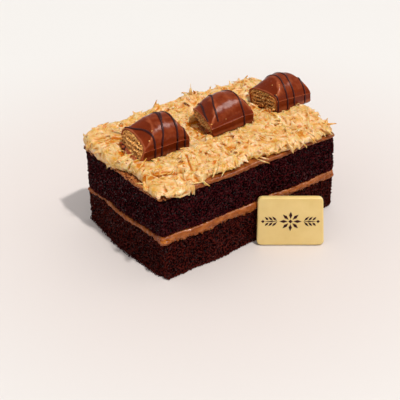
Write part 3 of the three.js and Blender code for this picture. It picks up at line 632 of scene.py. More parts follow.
def bar_matrix(bar):
    """A bar's place (mm) and turn."""
    turns = [Matrix.Rotation(math.radians(bar[part]), 4, axis)
             for part, axis in (("turn", "Z"), ("pitch", "Y"), ("roll", "X"))]
    return Matrix.Translation((bar["x"], bar["y"], bar["z"])) @ turns[0] @ turns[1] @ turns[2]


def inside_a_bar(point):
    """Whether a point (mm) is in a bar, or in the air just above its foot."""
    for bar in BARS:
        local = bar_matrix(bar).inverted() @ point
        if -0.6 < local.x < bar["length"] + 0.5 and abs(local.y) < BAR_HALF + 0.6 and local.z > BAR_FOOT:
            return True
    return False


def away_from(places, spot):
    """How far (mm) each place lies from a spot, seen from above."""
    return np.linalg.norm(places[:, :2] - spot, axis=1)


def bar_axes(bar):
    """A bar's place (mm) and its own axes, to turn many places into its frame and back."""
    matrix = np.array(bar_matrix(bar))
    return matrix[:3, 3], matrix[:3, :3]


def pressed(places):
    """Places (mm) of the heap, pressed down under the bars so that these lie on it. The trench beside
    and before a bar is uneven in width and depth."""
    for bar in BARS:
        middle, axes = bar_axes(bar)
        local = (places - middle) @ axes
        beside = np.maximum(-local[:, 1] - BAR_HALF - BAR_ROOM, 0)
        before = np.maximum(-0.5 - local[:, 0], 0)
        away = np.hypot(beside, before)
        x, y = places[:, 0], places[:, 1]
        width = 2 + 0.6 * np.sin(1.3 * x + y) + 0.4 * np.sin(3.1 * x - 1.7 * y)
        under = (away < width) & (local[:, 1] < BAR_HALF + BAR_ROOM) & (local[:, 0] < bar["length"] + 0.3)
        floor = BAR_FOOT - 0.4 + 0.6 * away + 0.3 * np.sin(4.1 * x + 1.9 * y) * np.sin(1.9 * x - 3.3 * y)
        over = under & (local[:, 2] > floor)
        uneven = local[over, 2] - np.median(local[over, 2])
        local[over, 2] = floor[over] + np.clip(0.6 * uneven, -0.5, 0.5)
        places = local @ axes.T + middle
    return places


def painted_shade_marks(places):
    """Painted shade, a deep golden, on the heap before two of the bars' cuts, where the bars shade it,
    and in a few hollows.
    """
    marks = np.zeros(len(places))
    for bar in BARS[1:]:
        middle, axes = bar_axes(bar)
        x, y, z = ((places - middle) @ axes).T
        marks += 0.5 * np.exp(-((x + 1.6) / 3) ** 4) * np.exp(-(y / 11.5) ** 6) * np.clip(1 - z / 4, 0, 1)
    for *spot, reach in SHADED_HOLLOWS:
        marks += 0.6 * bell(away_from(places, spot), reach)
    return marks


def swollen(places):
    """Places (mm) of the heap, raised along its rim where more was heaped."""
    for *spot, reach, height in SWELLS:
        share = np.clip(places[:, 2] / 2 - 23.7, 0, 1)
        places[:, 2] += height * bell(away_from(places, spot), reach) * share
    return places


def creased(places, creases):
    """Places (mm) of the heap's upper face, pressed in along short lines."""
    for start, end, width, depth in creases:
        start, reach = np.array(start), np.array(end) - start
        share = np.clip((places[:, :2] - start) @ reach / (reach @ reach), 0, 1)
        away = away_from(places, start + share[:, None] * reach)
        places[:, 2] -= depth * bell(away, width) * (places[:, 2] > CREASES_FROM)
    return places


def small_creases(count):
    """Short shallow creases at random places."""
    for x, y, turn in zip(random.uniform(-58, 56, count), random.uniform(-35, 34, count),
                          random.uniform(0, math.pi, count)):
        reach = random.uniform(0.6, 2.6)
        end = (x + reach * math.cos(turn), y + reach * math.sin(turn))
        yield (x, y), end, random.uniform(0.4, 0.7), random.uniform(0.5, 1.2)


def remesh(piece, voxel, passes):
    """Makes one skin of all that overlaps, in cells of that size (mm), and smooths it."""
    voxels = piece.modifiers.new("voxels", "REMESH")
    voxels.mode = "VOXEL"
    voxels.voxel_size = voxel * MM
    smooth = piece.modifiers.new("smooth", "SMOOTH")
    smooth.iterations = passes
    apply_modifiers(piece)


Surface = namedtuple("Surface", "corners middles areas ways")


def surface_of(piece):
    """A piece's triangles: their corners and middles (mm), their areas and the ways they face."""
    mesh = piece.data
    mesh.calc_loop_triangles()
    ids = np.empty(len(mesh.loop_triangles) * 3, int)
    mesh.loop_triangles.foreach_get("vertices", ids)
    corners = read_places(mesh.vertices, "co")[ids.reshape(-1, 3)]
    ways = np.cross(corners[:, 1] - corners[:, 0], corners[:, 2] - corners[:, 0])
    areas = np.linalg.norm(ways, axis=1)
    return Surface(corners, corners.mean(axis=1) / MM, areas, ways / np.maximum(areas[:, None], 1e-12))


def scattered(surface, wanted, count):
    """Random places on some of a surface's triangles, with the way each faces."""
    ids = np.flatnonzero(wanted)
    for k in random.choice(ids, int(count), p=surface.areas[ids] / surface.areas[ids].sum()):
        a, b = sorted(random.random(2))
        yield Vector(surface.corners[k].T @ (a, b - a, 1 - b)), Vector(surface.ways[k])


def on_the_heap(surface, count, edge_share):
    """Random places on the heap's upper face and round its edge."""
    height, up = surface.middles[:, 2], surface.ways[:, 2]
    outer = (np.abs(surface.middles[:, :2]) > HEAP_EDGE_FROM).any(axis=1)
    top = (up > 0.35) & (height > HEAP_TOP_FROM)
    edge = (up <= 0.35) & (up > -0.55) & (height > LOWEST_SHRED) & outer
    yield from scattered(surface, top, count * (1 - edge_share))
    yield from scattered(surface, edge, count * edge_share)


def mesh_piece(name, points, faces):
    """A piece from its points and faces."""
    mesh = bpy.data.meshes.new(name)
    mesh.from_pydata(points, [], faces)
    mesh.validate()
    piece = bpy.data.objects.new(name, mesh)
    scene.collection.objects.link(piece)
    return piece


def strips_mesh(name, strips):
    """One mesh of many strips, each four-sided and narrower at its ends."""
    vertices, faces = [], []
    for path, width, thick in strips:
        start, last = len(vertices), len(path) - 1
        for k, (point, up) in enumerate(path):
            ahead = path[min(k + 1, last)][0] - path[max(k - 1, 0)][0]
            side = ahead.cross(up).normalized()
            above = side.cross(ahead).normalized()
            taper = 0.4 if k in (0, last) else 1
            side *= width * taper / 2
            above *= thick * taper / 2
            vertices += [point + side * a + above * b for a, b in ((1, -1), (1, 1), (-1, 1), (-1, -1))]
            if k:
                low, high = start + 4 * (k - 1), start + 4 * k
                faces += [(low + i, low + (i + 1) % 4, high + (i + 1) % 4, high + i) for i in range(4)]
        faces += [(start + 3, start + 2, start + 1, start), tuple(start + 4 * last + i for i in range(4))]
    return mesh_piece(name, vertices, faces)


def fits(path):
    """Whether a shred hangs no lower than the topping's edge, and runs through no bar."""
    return all(point.z > LOWEST_SHRED * MM and not inside_a_bar(point / MM) for point in path)


def laid_flat(heading, way):
    """A heading turned to run along the surface that faces that way."""
    return (heading - way * heading.dot(way)).normalized()


def coated_strips(surface):
    """Nearly straight shreds, half sunk in the cream, that hang down where they lie on the edge. More
    of them are kept towards the right."""
    for place, way in on_the_heap(surface, COATED_COUNT, COATED_EDGE_SHARE):
        length, width, thick = (random.uniform(*size) * MM for size in COATED_SIZES)
        heading = Vector(random.normal(size=3))
        if way.z < 0.35:
            heading.z = -abs(heading.z) - 0.3
            length *= 0.5
        heading = laid_flat(heading, way)
        bend = Vector(random.normal(size=3)) * length * 0.05
        middle = place + way * random.uniform(-0.4, 0.2) * MM
        tilt = way * random.normal() * 0.2 * MM
        reach = heading * length / 2
        path = [middle - reach - tilt, middle + bend, middle + reach + tilt]
        if random.random() <= np.interp(place.x / MM, *COATED_KEPT) and fits(path):
            yield [(point, way) for point in path], width, thick


def chosen(shreds, thick):
    """Single shreds that stand out, laid through a few places (mm)."""
    return [([(Vector(point) * MM, Vector((0, -0.6, 0.8))) for point in points], width * MM, thick * MM)
            for width, points in shreds]


# Shreds that stand out in the cream: width, and places along each.
CHOSEN_COATED = [
    (2.2, [(-60, -23, 52.5), (-60.6, -25, 50.5), (-60.7, -26.4, 48.4)]),
    (2.4, [(-59.6, -34, 52), (-60.3, -35.8, 50.6), (-60.4, -36.5, 48.4)]),
    (2.2, [(-58, -36.3, 52), (-56, -37.2, 50), (-53, -37.4, 48.6)]),
    (2.2, [(-41.8, -36.6, 53), (-41.4, -37.7, 49), (-41.2, -37.7, 45.2)]),
    (2.8, [(-43.6, -36.4, 52.6), (-43.6, -37.6, 49), (-43.8, -37.5, 45.8)]),
    (2.8, [(-46.4, -36.3, 52.4), (-46.4, -37.5, 49.6), (-46.6, -37.3, 46.6)]),
    (2.8, [(-49.6, -36.3, 52.2), (-49.4, -37.4, 50), (-49.4, -37.2, 47.4)]),
    (4.2, [(-57, -36.8, 50.6), (-50, -37.2, 50.2), (-43.5, -37.2, 50.2)]),
    (3.6, [(-54.5, -37, 49), (-49, -37.3, 48), (-43.2, -37.3, 47.2)]),
    (2.4, [(20.4, -35.5, 53), (21.4, -37.6, 50), (22.5, -37.8, 46.6)]),
    (2.0, [(25.2, -35.6, 52), (24.4, -37.4, 50.2), (23.4, -37.8, 48)]),
    (2.0, [(-58, 15.5, 49), (-59.6, 12, 47.4), (-60, 9, 46.4)]),
    (1.8, [(-57.4, 23, 49), (-58.8, 20, 47.2), (-59.4, 17.5, 45.8)]),
]
core = copy_of_node("kunafa_topping", "kunafa_cream")
for vertex in core.data.vertices:
    if (vertex.co.xy / MM - UPRIGHT_SHRED).length < 2:
        vertex.co.z = min(vertex.co.z, UPRIGHT_SHRED_FOOT * MM)
remesh(core, HEAP_VOXEL, 4)
add_relief(core, ("CLOUDS", 7, 2.4), ("CLOUDS", 2.8, 1.0))
strips = list(coated_strips(surface_of(core))) + chosen(CHOSEN_COATED, 1.6)
coated = strips_mesh("coated_shreds", strips)
only(core)
coated.select_set(True)
bpy.ops.object.join()
remesh(core, CREAM_VOXEL, 3)
places, ways = (read_places(core.data.vertices, label) for label in ("co", "normal"))
places = creased(swollen(places / MM), CREASES + list(small_creases(SMALL_CREASES)))
lip = np.interp(places[:, 0], *np.array(FRONT_LIP).T)
places[:, 2] = np.where(places[:, 1] < HEAP_FRONT, np.maximum(places[:, 2], lip), places[:, 2])
inside = (np.abs(places[:, :2]) < HEAP_INSIDE).all(axis=1)
places[inside & (ways[:, 2] < -0.2) & (places[:, 2] < CREASES_FROM), 2] = HEAP_FLOOR
places = pressed(places)
core.data.vertices.foreach_set("co", (places * MM).reshape(-1))
core.data.update()
# The cream's painted shade: deep golden in its pits, on its steep sides, before the bars' cuts and in the
# listed hollows.
mark_hollows(core, 10, 0.5, 0.16, painted_shade_marks(places))
CREAM_COLOURS = [(0.3, 0.66, 0.315, 0.025), (0.5, 0.76, 0.47, 0.18), (0.7, 0.81, 0.59, 0.365)]
cream_material = food_look("kunafa_cream", CREAM_COLOURS, 260, 0.15, (0.2, 0.45),
                           hollow=(0.5, 0.74, (0.58, 0.18, 0.004)), Subsurface_Weight=0.35,
                           Subsurface_Scale=0.0015, Specular_IOR_Level=0.3)

# The loose shreds and crumbs lie on this fine skin; the cream itself keeps fewer triangles of it.
core_tree = BVHTree.FromObject(core, bpy.context.evaluated_depsgraph_get())
core_surface = surface_of(core)
fewer = core.modifiers.new("fewer", "DECIMATE")
fewer.ratio = CREAM_TRIANGLES / len(core.data.loop_triangles)
apply_modifiers(core)
finish_piece(core, cream_material, "kunafa", "kunafa_topping")


# Kunafa shreds
# Strips of pastry under a millimetre thick and up to a centimetre long, that lie in the cream or
# stand out of it. Most are pale, some are bare and golden, and a few are toasted brown.
SHRED_STEPS = 4
SHRED_REACH = 4
BACK_RIM = 29


def shred_path(place, way, length, stiff, depth, lift):
    """Places along a shred: it follows the surface as far as it is soft, and its far end lifts."""
    heading = Vector(random.normal(size=3))
    if way.z < 0.2:
        heading.z -= 0.7
    heading = laid_flat(heading, way)
    path = []
    curl = Vector(random.normal(size=3)) * 0.06
    for share in np.linspace(0, 1, SHRED_STEPS + 1):
        rise = depth + lift * share * share
        path.append((place + way * rise, way.copy()))
        place = place + heading * (length / SHRED_STEPS)
        found, normal, _, distance = core_tree.find_nearest(place)
        if found is not None and distance < SHRED_REACH * MM:
            place = place.lerp(found, 1 - stiff)
            way = way.lerp(normal, 1 - stiff).normalized()
        heading = laid_flat(heading + curl, way)
    return path


def loose_shreds(count, edge_share, sizes, depths, lifts, stiffness):
    """Shreds of random sizes, left out where a bar lies or where they would hang too low."""
    for place, way in on_the_heap(core_surface, count, edge_share):
        length, width, thick = (random.uniform(*size) * MM for size in sizes)
        depth, lift = random.uniform(*depths) * MM, random.uniform(*lifts) ** 3 * MM
        lift *= 0.3 if place.y > BACK_RIM * MM else 1
        path = shred_path(place, way, length, random.uniform(*stiffness), depth, lift)
        if fits([point for point, _ in path]):
            yield path, width, thick


CHOSEN_SHREDS = [
    (1.9, [(9.6, 33.4, 53), (9.8, 33.6, 56), (10, 34, 58.6)]),
    (0.45, [(10.3, 33.9, 57), (10, 34, 61)]),
    (0.6, [(-61.5, -18.3, 49.5), (-60.5, -20.5, 50.2), (-59, -21.6, 50)]),
    (0.7, [(-43.2, -37.6, 52), (-39.3, -38.2, 51.4), (-36, -38.4, 51)]),
    (0.8, [(-41.2, -37.5, 52.5), (-40.8, -38, 49), (-40.5, -38, 45)]),
    (0.6, [(0.5, -36.8, 51.5), (3, -38, 50.3), (5.8, -38.6, 49)]),
    (0.6, [(-1.2, -36.8, 51), (2.4, -38.3, 48.8), (6, -38.9, 46.8)]),
    (0.6, [(-34.3, -36.8, 49.6), (-32.5, -37.5, 47.8), (-31.1, -38, 46.4)]),
    (0.6, [(-38.1, -24.7, 53.4), (-40.7, -30, 53), (-42.1, -32.8, 52)]),
    (0.8, [(-35, -19.8, 53), (-33.6, -18.6, 55.4), (-31.3, -16.8, 56.8)]),
    (0.8, [(46, -35.2, 51.9), (48.1, -37.3, 49.8), (49, -37.8, 48.3)]),
    (0.8, [(42.2, -35.2, 52.4), (43.8, -37.3, 50.4), (44.8, -37.8, 48.6)]),
]
CHOSEN_GOLDEN = [
    (0.8, [(-48.2, -8.6, 54.5), (-52.4, -10.9, 53.6), (-56.6, -12.9, 52)]),
    (0.8, [(35.6, -36, 50.8), (36.5, -37.6, 49.3), (38.4, -38, 47.2)]),
    (0.9, [(48.8, -34, 53), (50.8, -35, 53), (53.7, -36, 52.7)]),
    (0.9, [(-52, -20.6, 52.2), (-48.4, -20.8, 51), (-45, -22.2, 51.4)]),
    (0.8, [(-51.6, -24, 52.6), (-49, -21.6, 53.2), (-46, -19, 53.8)]),
    (0.8, [(-47.4, -25, 52.8), (-44.6, -23.6, 51.6), (-41.6, -22.6, 52.6)]),
]
CHOSEN_TOASTED = [(0.8, [(1.8, -10.6, 53.6), (1.3, -13.5, 53.8), (0.9, -16, 53.4)])]
PALE_COLOURS = [(0.3, 0.66, 0.335, 0.03), (0.5, 0.77, 0.485, 0.16), (0.7, 0.81, 0.6, 0.32)]
GOLD_COLOURS = [(0.3, 0.58, 0.21, 0.015), (0.5, 0.7, 0.33, 0.045), (0.7, 0.8, 0.46, 0.13)]
TOASTED_COLOURS = [(0.3, 0.25, 0.06, 0.015), (0.5, 0.42, 0.13, 0.03), (0.7, 0.6, 0.25, 0.06)]


def lay_shreds(kind, single, colours, look, draws, **sockets):
    """Loose shreds of one kind, and the single ones of that kind that stand out."""
    material = food_look("kunafa_" + kind, colours, *look, **sockets)
    shreds = strips_mesh("shreds_" + kind, list(loose_shreds(**draws)) + chosen(single, 0.5))
    finish_piece(shreds, material, "kunafa", "kunafa_topping")
    return material


lay_shreds("pale", CHOSEN_SHREDS, PALE_COLOURS, (300, 0.1, (0.25, 0.5)),
           dict(count=650, edge_share=0.2, sizes=((2.5, 7.5), (0.35, 0.7), (0.3, 0.5)), depths=(-0.15, 0.08),
                lifts=(0, 0.8), stiffness=(0, 0.35)),
           Subsurface_Weight=0.12, Subsurface_Scale=0.001, Specular_IOR_Level=0.35)
lay_shreds("golden", CHOSEN_GOLDEN, GOLD_COLOURS, (300, 0.1, (0.2, 0.45)),
           dict(count=230, edge_share=0.12, sizes=((2, 6), (0.4, 0.8), (0.3, 0.45)), depths=(-0.2, -0.03),
                lifts=(0, 0.6), stiffness=(0, 0.2)),
           Subsurface_Weight=0.2, Subsurface_Scale=0.001, Specular_IOR_Level=0.35)
toasted_material = lay_shreds(
    "toasted", CHOSEN_TOASTED, TOASTED_COLOURS, (500, 0.1, (0.35, 0.6)),
    dict(count=50, edge_share=0.1, sizes=((0.8, 3), (0.5, 0.8), (0.3, 0.45)), depths=(-0.15, -0.03),
         lifts=(0, 0.5), stiffness=(0, 0.3)), Specular_IOR_Level=0.3)


# Wafer bars
# Three halves of a filled wafer bar, cut with a knife and laid in a row. Each has a smooth milk
# chocolate coat over a domed wafer shell, two scooped slopes, and a seam along its sides. It is open
# at its cut end.
COAT_WALL = 1.0
WAFER_WALL = 1.2
DOME_SHARES = [0.1, 0.33, 0.55, 0.76, 0.93, 1, 1.1]
DOME_HEIGHTS = [0.5, 0.93, 1, 0.92, 0.43, 0.24, 0.24]
DOME_INSET = 0.15

# The ridges at the foot of the two slopes: place across the bar, and share of its length there.
NEAR_RIDGE = [(-1, 0.06), (-0.8, 0.17), (-0.4, 0.27), (0.2, 0.34), (1, 0.4)]
FAR_RIDGE = [(-1, 0.97), (-0.8, 0.86), (-0.4, 0.78), (1, 0.75)]
BAND_AT_END = 4.6
RING_STEPS = 36
CUT_HEIGHT = 7
HOLLOW_END = 0.84
DRAWN_BACK = 0.8
WALL_SHAPE = [(-0.25, -1.3), (-0.13, -0.6), (0.04, 0), (0.8, 0), (0.9, 0.18), (0.97, 0.3), (1.02, 0.1)]


def band_height(bar, share):
    """Height of the side band, which ends at the seam under the dome."""
    return float(np.interp(share, [0, 0.8, 1], [*bar["band"], BAND_AT_END]))


def dome_height(bar, share, across):
    """Height of the dome over the side band. The ridges of its two slopes run down to the corners."""
    side = math.sqrt(max(0, 1 - across * across))
    near = np.interp(across, *np.array(NEAR_RIDGE).T)
    near += bar.get("near", 0) * (1 + across) / 2
    far = np.interp(across, *np.array(FAR_RIDGE).T) + bar.get("far", 0)
    stretched = np.interp(share + np.linspace(-0.025, 0.025, 5), [-0.1, 0, near, 0.55, far, 1, 1.1],
                          [-0.1, 0, 0.33, 0.55, 0.76, 1, 1.1])
    heights = [bar["cut_dome"]] * 2 + [bar["dome"] * height for height in DOME_HEIGHTS]
    crest = float(np.mean(np.interp(stretched, [-0.1, 0] + DOME_SHARES, heights)))
    near_cut = max(0, 1 - share / 0.33)
    return crest * side ** (1 - 0.25 * near_cut) + bar["tilt"] * BAR_HALF * across * near_cut * side ** 0.5


def along_bar(bar, x, y, z):
    """Place along the bar, where the first stretch follows the slanted cut."""
    cut = bar["skew"] * y + bar["slant"] * (CUT_HEIGHT - z)
    cut = cut + bar.get("undercut", 0) * np.clip(y / BAR_HALF, 0, 1) * np.clip(1 - z / CUT_HEIGHT, 0, 1)
    return x + cut * np.clip(1 - x / 8, 0, 1.5)


def bar_ring(bar, share, inset, draw=0):
    """Ring of places round a bar's section, so far inside its outer surface and drawn back."""
    band = band_height(bar, share)
    half = BAR_HALF - inset
    if inset:
        wall = np.c_[np.full(7, half), np.linspace(BAR_FOOT + inset, band, 7)]
    else:
        wall = np.array([(half + out, part * band) for part, out in WALL_SHAPE])
    dome = []
    for turn in np.linspace(0.02, math.pi - 0.02, RING_STEPS):
        across = math.cos(turn)
        rise = dome_height(bar, share, across) - inset * math.sin(turn)
        dome.append(((half - DOME_INSET) * across, band + 0.1 + max(rise, 0.05)))
    base = np.c_[np.linspace(-0.75, 0.75, 6) * half, np.full(6, wall[0, 1])]
    ring = np.vstack([wall, dome, (wall * (-1, 1))[::-1], base])
    lengthwise = along_bar(bar, share * bar["length"] - draw, ring[:, 0], ring[:, 1])
    return np.c_[lengthwise, ring]


def on_the_coat(bar, share, across):
    """Place on a bar's coat (mm, in the bar's own axes)."""
    y = (BAR_HALF - DOME_INSET) * across
    z = band_height(bar, share) + 0.1 + dome_height(bar, share, across)
    return along_bar(bar, share * bar["length"], y, z), y, z


def narrowed(ring, share):
    """A ring drawn in towards its own middle."""
    middle = (ring.max(axis=0) + ring.min(axis=0)) / 2
    return middle + (ring - middle) * share


def roughened(rows, depth, grain, seed, sheets=0):
    """Rows pushed to and fro along the bar, as on a broken face of thin sheets."""
    for row in rows:
        for point in row:
            rough = noise.fractal(Vector((seed, point[1] / grain, point[2] / grain)), 0.7, 2.0, 4)
            wave = noise.noise(Vector((seed, point[1] / 4, 0)))
            point[0] += depth * rough + sheets * math.sin(point[2] * 3.1 + wave)
    return rows


def bar_piece(name, bar, rows):
    """A piece from rows in a bar's own axes, put where the bar lies."""
    piece = wrapped_sheet(name, rows)
    piece.data.transform(Matrix.Scale(MM, 4) @ bar_matrix(bar) @ Matrix.Scale(1 / MM, 4))
    return piece


# The coat's crests and ridges are lighter: a painted highlight.
COAT_COLOURS = [(0.3, 0.14, 0.016, 0.002), (0.7, 0.195, 0.025, 0.004)]
coat_material = food_look("milk_chocolate", COAT_COLOURS, 150, 0.03, (0.16, 0.28),
                          hollow=(0.36, 0.1, (0.36, 0.085, 0.03)), Specular_IOR_Level=0.1)
for bar in BARS:
    hollow = [bar_ring(bar, share, COAT_WALL) for share in np.linspace(HOLLOW_END, 0, 24)]
    shell = [bar_ring(bar, share, 0) for share in np.linspace(0, 1, 90)]
    cut = roughened([hollow[-1].copy(), shell[0].copy()], 0.35, 1.1, bar["x"])
    rows = hollow[:-1] + [cut[0], (cut[0] + cut[1]) / 2, cut[1]] + shell[2:]
    rows += [narrowed(bar_ring(bar, 1, 0, -0.2), 0.96), narrowed(bar_ring(bar, 1, 0, -0.25), 0.9)]
    coat = bar_piece(bar["name"] + "_chocolate", bar, rows)
    add_relief(coat, ("CLOUDS", 6, 0.4), ("CLOUDS", 2.5, 0.1))
    mark_hollows(coat, 5, 0.3)
    finish_piece(coat, coat_material, "chocolate", bar["name"] + "_coat")


# Piped stripes
# A thin dark chocolate line was piped to and fro over each bar, and runs down its sides.
STRIPE_RADIUS = {"bar_left": 0.6, "bar_middle": 0.52, "bar_right": 0.52}

# Each stripe runs through places on its bar: share of the length from the cut, and share across.
STRIPES = {
    "bar_left": [
        [(0.02, 0.88), (0.04, 0.48), (0.12, 0.03), (0.16, -0.38), (0.17, -0.72), (0.2, -0.95), (0.22, -1.02)],
        [(0.58, 0.9), (0.57, 0.3), (0.51, -0.3), (0.46, -0.62), (0.42, -0.85), (0.36, -1.02)],
        [(0.76, 0.7), (0.76, -0.2), (0.74, -0.78), (0.71, -1.02)],
        [(0.98, 0.3), (0.96, -0.4), (0.9, -0.8), (0.89, -1.02)],
        [(0.6, 0.8), (0.63, 0.3), (0.52, -0.35)],
    ],
    "bar_middle": [
        [(0.2, 0.9), (0.12, 0.12), (0.06, -0.27), (0.02, -0.75)],
        [(0.44, 0.9), (0.38, 0.4), (0.28, -0.1), (0.22, -0.45), (0.18, -0.8), (0.16, -0.98)],
        [(0.72, 0.9), (0.76, 0.3), (0.78, -0.2), (0.76, -0.6), (0.74, -0.9), (0.76, -1.02)],
        [(0.8, 0.2), (0.84, -0.3), (0.88, -0.7), (0.99, -0.85)],
        [(0.44, 0.9), (0.42, 0.5), (0.33, 0.1)],
    ],
    "bar_right": [
        [(0.39, 0.9), (0.39, 0), (0.355, -0.4), (0.315, -0.75), (0.3, -0.95), (0.315, -1.02)],
        [(0.56, 0.9), (0.56, -0.2), (0.52, -0.57), (0.5, -0.85), (0.51, -1.02)],
        [(0.85, 0.6), (0.84, -0.3), (0.82, -0.75), (0.83, -1.02)],
        [(0.03, -0.8), (0.035, -1.02)],
    ],
}


def through(points, steps):
    """A smooth line through a few places (Catmull-Rom)."""
    points = np.array(points, float)
    points = np.vstack([2 * points[0] - points[1], points, 2 * points[-1] - points[-2]])
    line = []
    for a, b, c, d in zip(points, points[1:], points[2:], points[3:]):
        for t in np.arange(steps) / steps:
            bent = (2 * a - 5 * b + 4 * c - d) * t * t + (3 * b - a - 3 * c + d) * t ** 3
            line.append(0.5 * (2 * b + (c - a) * t + bent))
    return np.array(line + [points[-2]])


def stripe_rows(bar, path):
    """Rings of a raised line that lies on the dome and runs down the side."""
    line = []
    for share, across in through(path, 12):
        line.append(on_the_coat(bar, share, float(np.clip(across, -1, 1))))
    if path[-1][1] < -1:
        x, _, z = line[-1]
        for drop in np.arange(z - 0.6, BAR_FOOT + 0.6, -0.5):
            out = np.interp(drop / band_height(bar, path[-1][0]), *np.array(WALL_SHAPE).T)
            line.append((x, -BAR_HALF - 0.05 - out, drop))
    line = np.array(line)
    ahead = np.gradient(line, axis=0)
    ahead /= np.linalg.norm(ahead, axis=1, keepdims=True)
    side = np.array([1.0, 0, 0]) - ahead * ahead[:, :1]
    side /= np.linalg.norm(side, axis=1, keepdims=True)
    up = np.cross(side, ahead)
    rows = []
    for k, (spot, s, u) in enumerate(zip(line, side, up)):
        wide = 1 + 0.22 * noise.noise(Vector((bar["x"], spot[1] / 2.5, spot[2] / 2.5)))
        wide *= STRIPE_RADIUS[bar["name"]] * (0.6 if k in (0, len(line) - 1) else 1)
        rows.append([spot + wide * (math.cos(turn) * s + 0.75 * math.sin(turn) * u)
                     for turn in np.arange(8) * math.pi / 4])
    return rows


STRIPE_COLOURS = [(0.3, 0.035, 0.006, 0.006), (0.7, 0.055, 0.01, 0.01)]
stripe_material = food_look("dark_chocolate", STRIPE_COLOURS, 300, 0.03, (0.35, 0.5),
                            Specular_IOR_Level=0.15)
for bar in BARS:
    for number, path in enumerate(STRIPES[bar["name"]], 1):
        stripe = bar_piece(f"{bar['name']}_stripe_{number}", bar, stripe_rows(bar, path))
        finish_piece(stripe, stripe_material, "chocolate", bar["name"] + "_coat")


# Wafer shells
# Under the coat is a crisp baked wafer, pale tan, with a broken, flaky face at the cut.
# The wafer's pits and the gaps in its broken face are darker: painted shade.
WAFER_COLOURS = [(0.38, 0.5, 0.14, 0.014), (0.6, 1.0, 0.54, 0.16)]
wafer_material = food_look("baked_wafer", WAFER_COLOURS, 900, 0.3, (0.6, 0.85),
                           hollow=(0.52, 0.75, (0.1, 0.025, 0.002)), Specular_IOR_Level=0.2)
for bar in BARS:
    outer, inner = COAT_WALL + GAP, COAT_WALL + GAP + WAFER_WALL
    shares = np.linspace(0, HOLLOW_END, 16)
    hollow = [bar_ring(bar, share, inner, (GAP + WAFER_WALL) * (share > DRAWN_BACK))
              for share in shares[::-1]]
    shell = [bar_ring(bar, share, outer, GAP * (share > DRAWN_BACK)) for share in shares]
    face = [hollow[-1] + (shell[0] - hollow[-1]) * share for share in np.linspace(0, 1, 8)]
    face = roughened(face, 1.1, 0.8, bar["x"] + 3)
    wafer = bar_piece(bar["name"] + "_wafer_shell", bar, hollow[:-1] + face + shell[1:])
    mark_hollows(wafer, 4, 0.25)
    finish_piece(wafer, wafer_material, "wafer", bar["name"] + "_wafer")


# Cream cores
# The shell holds a pale nut cream between thin sheets of wafer, which show as layers at the cut.
# The cream's pits and the grooves between its sheets are darker: painted shade.
FILL_COLOURS = [(0.38, 0.55, 0.17, 0.018), (0.6, 1.0, 0.58, 0.19)]
fill_material = food_look("nut_cream", FILL_COLOURS, 800, 0.2, (0.45, 0.7),
                          hollow=(0.48, 0.68, (0.11, 0.028, 0.002)), Specular_IOR_Level=0.25)
for bar in BARS:
    inset = COAT_WALL + WAFER_WALL + 2 * GAP
    first = bar_ring(bar, 0, inset)
    face = [narrowed(first, share) for share in np.linspace(0.03, 1, 36)]
    face = roughened(face, 0.9, 1.1, bar["x"] + 8, 0.9)
    shares = np.linspace(0.06, HOLLOW_END, 12)
    body = [bar_ring(bar, share, inset, inset * (share > DRAWN_BACK)) for share in shares]
    fill = bar_piece(bar["name"] + "_nut_cream", bar, face + body)
    mark_hollows(fill, 5, 0.3)
    finish_piece(fill, fill_material, "cream", bar["name"] + "_cream")


# Loose crumbs
# Crumbs of sponge and pastry cling to the cut faces and the spread, bits of caramel hang under the
# filling, and chocolate and wafer broke off at the bars' cuts. Each kind is one mesh of many small
# squashed lumps.
CRUMB_LIFT = 0.05
RIM_WIDTH = 1.2
SPREAD_LEFT = -53.5
bpy.ops.mesh.primitive_ico_sphere_add(subdivisions=1, radius=1)
lump = bpy.context.object
LUMP_POINTS = read_places(lump.data.vertices, "co")
LUMP_FACES = np.array([list(face.vertices) for face in lump.data.polygons])
bpy.data.objects.remove(lump)


def lay_crumbs(name, places, sizes, material, slot):
    """One piece of lumps at those places, each squashed and turned at random."""
    places = np.array([tuple(place) for place in places])
    count = len(places)
    shape = random.uniform(*sizes, (count, 1, 1)) * MM / 2 * random.uniform(0.6, 1.3, (count, 1, 3))
    turns = np.linalg.qr(random.normal(size=(count, 3, 3)))[0]
    jitter = random.uniform(0.8, 1.2, (count, len(LUMP_POINTS), 1))
    points = np.einsum("nij,njk->nik", LUMP_POINTS * jitter * shape, turns) + places[:, None]
    faces = LUMP_FACES + np.arange(count)[:, None, None] * len(LUMP_POINTS)
    flipped = np.linalg.det(turns) < 0
    faces[flipped] = faces[flipped][:, :, ::-1]
    piece = mesh_piece(name, points.reshape(-1, 3), faces.reshape(-1, 3).tolist())
    finish_piece(piece, material, slot)


def places_on(surface, wanted, count, lift=0):
    """Random places on some of a surface's triangles, lifted so far off it."""
    return [place + way * lift * MM for place, way in scattered(surface, wanted, count)]


def foot_shade_places(count):
    """Random places on the table, close to the slab's left side, for dark crumbs that stand in for the
    shade at its foot.
    """
    ring = beside_slab(0.2, 0)[SIDE_OF == "left"]
    for spot in ring[random.integers(4, len(ring) - 8, count)]:
        yield Vector((spot[0] + 0.9 - abs(random.normal()) * 0.6, spot[1], spot[2])) * MM


crumb_places = []
for sponge in (sponge_lower, sponge_upper):
    surface = surface_of(sponge)
    crumb_places += places_on(surface, np.abs(surface.ways[:, 2]) < 0.75, 1300, CRUMB_LIFT)
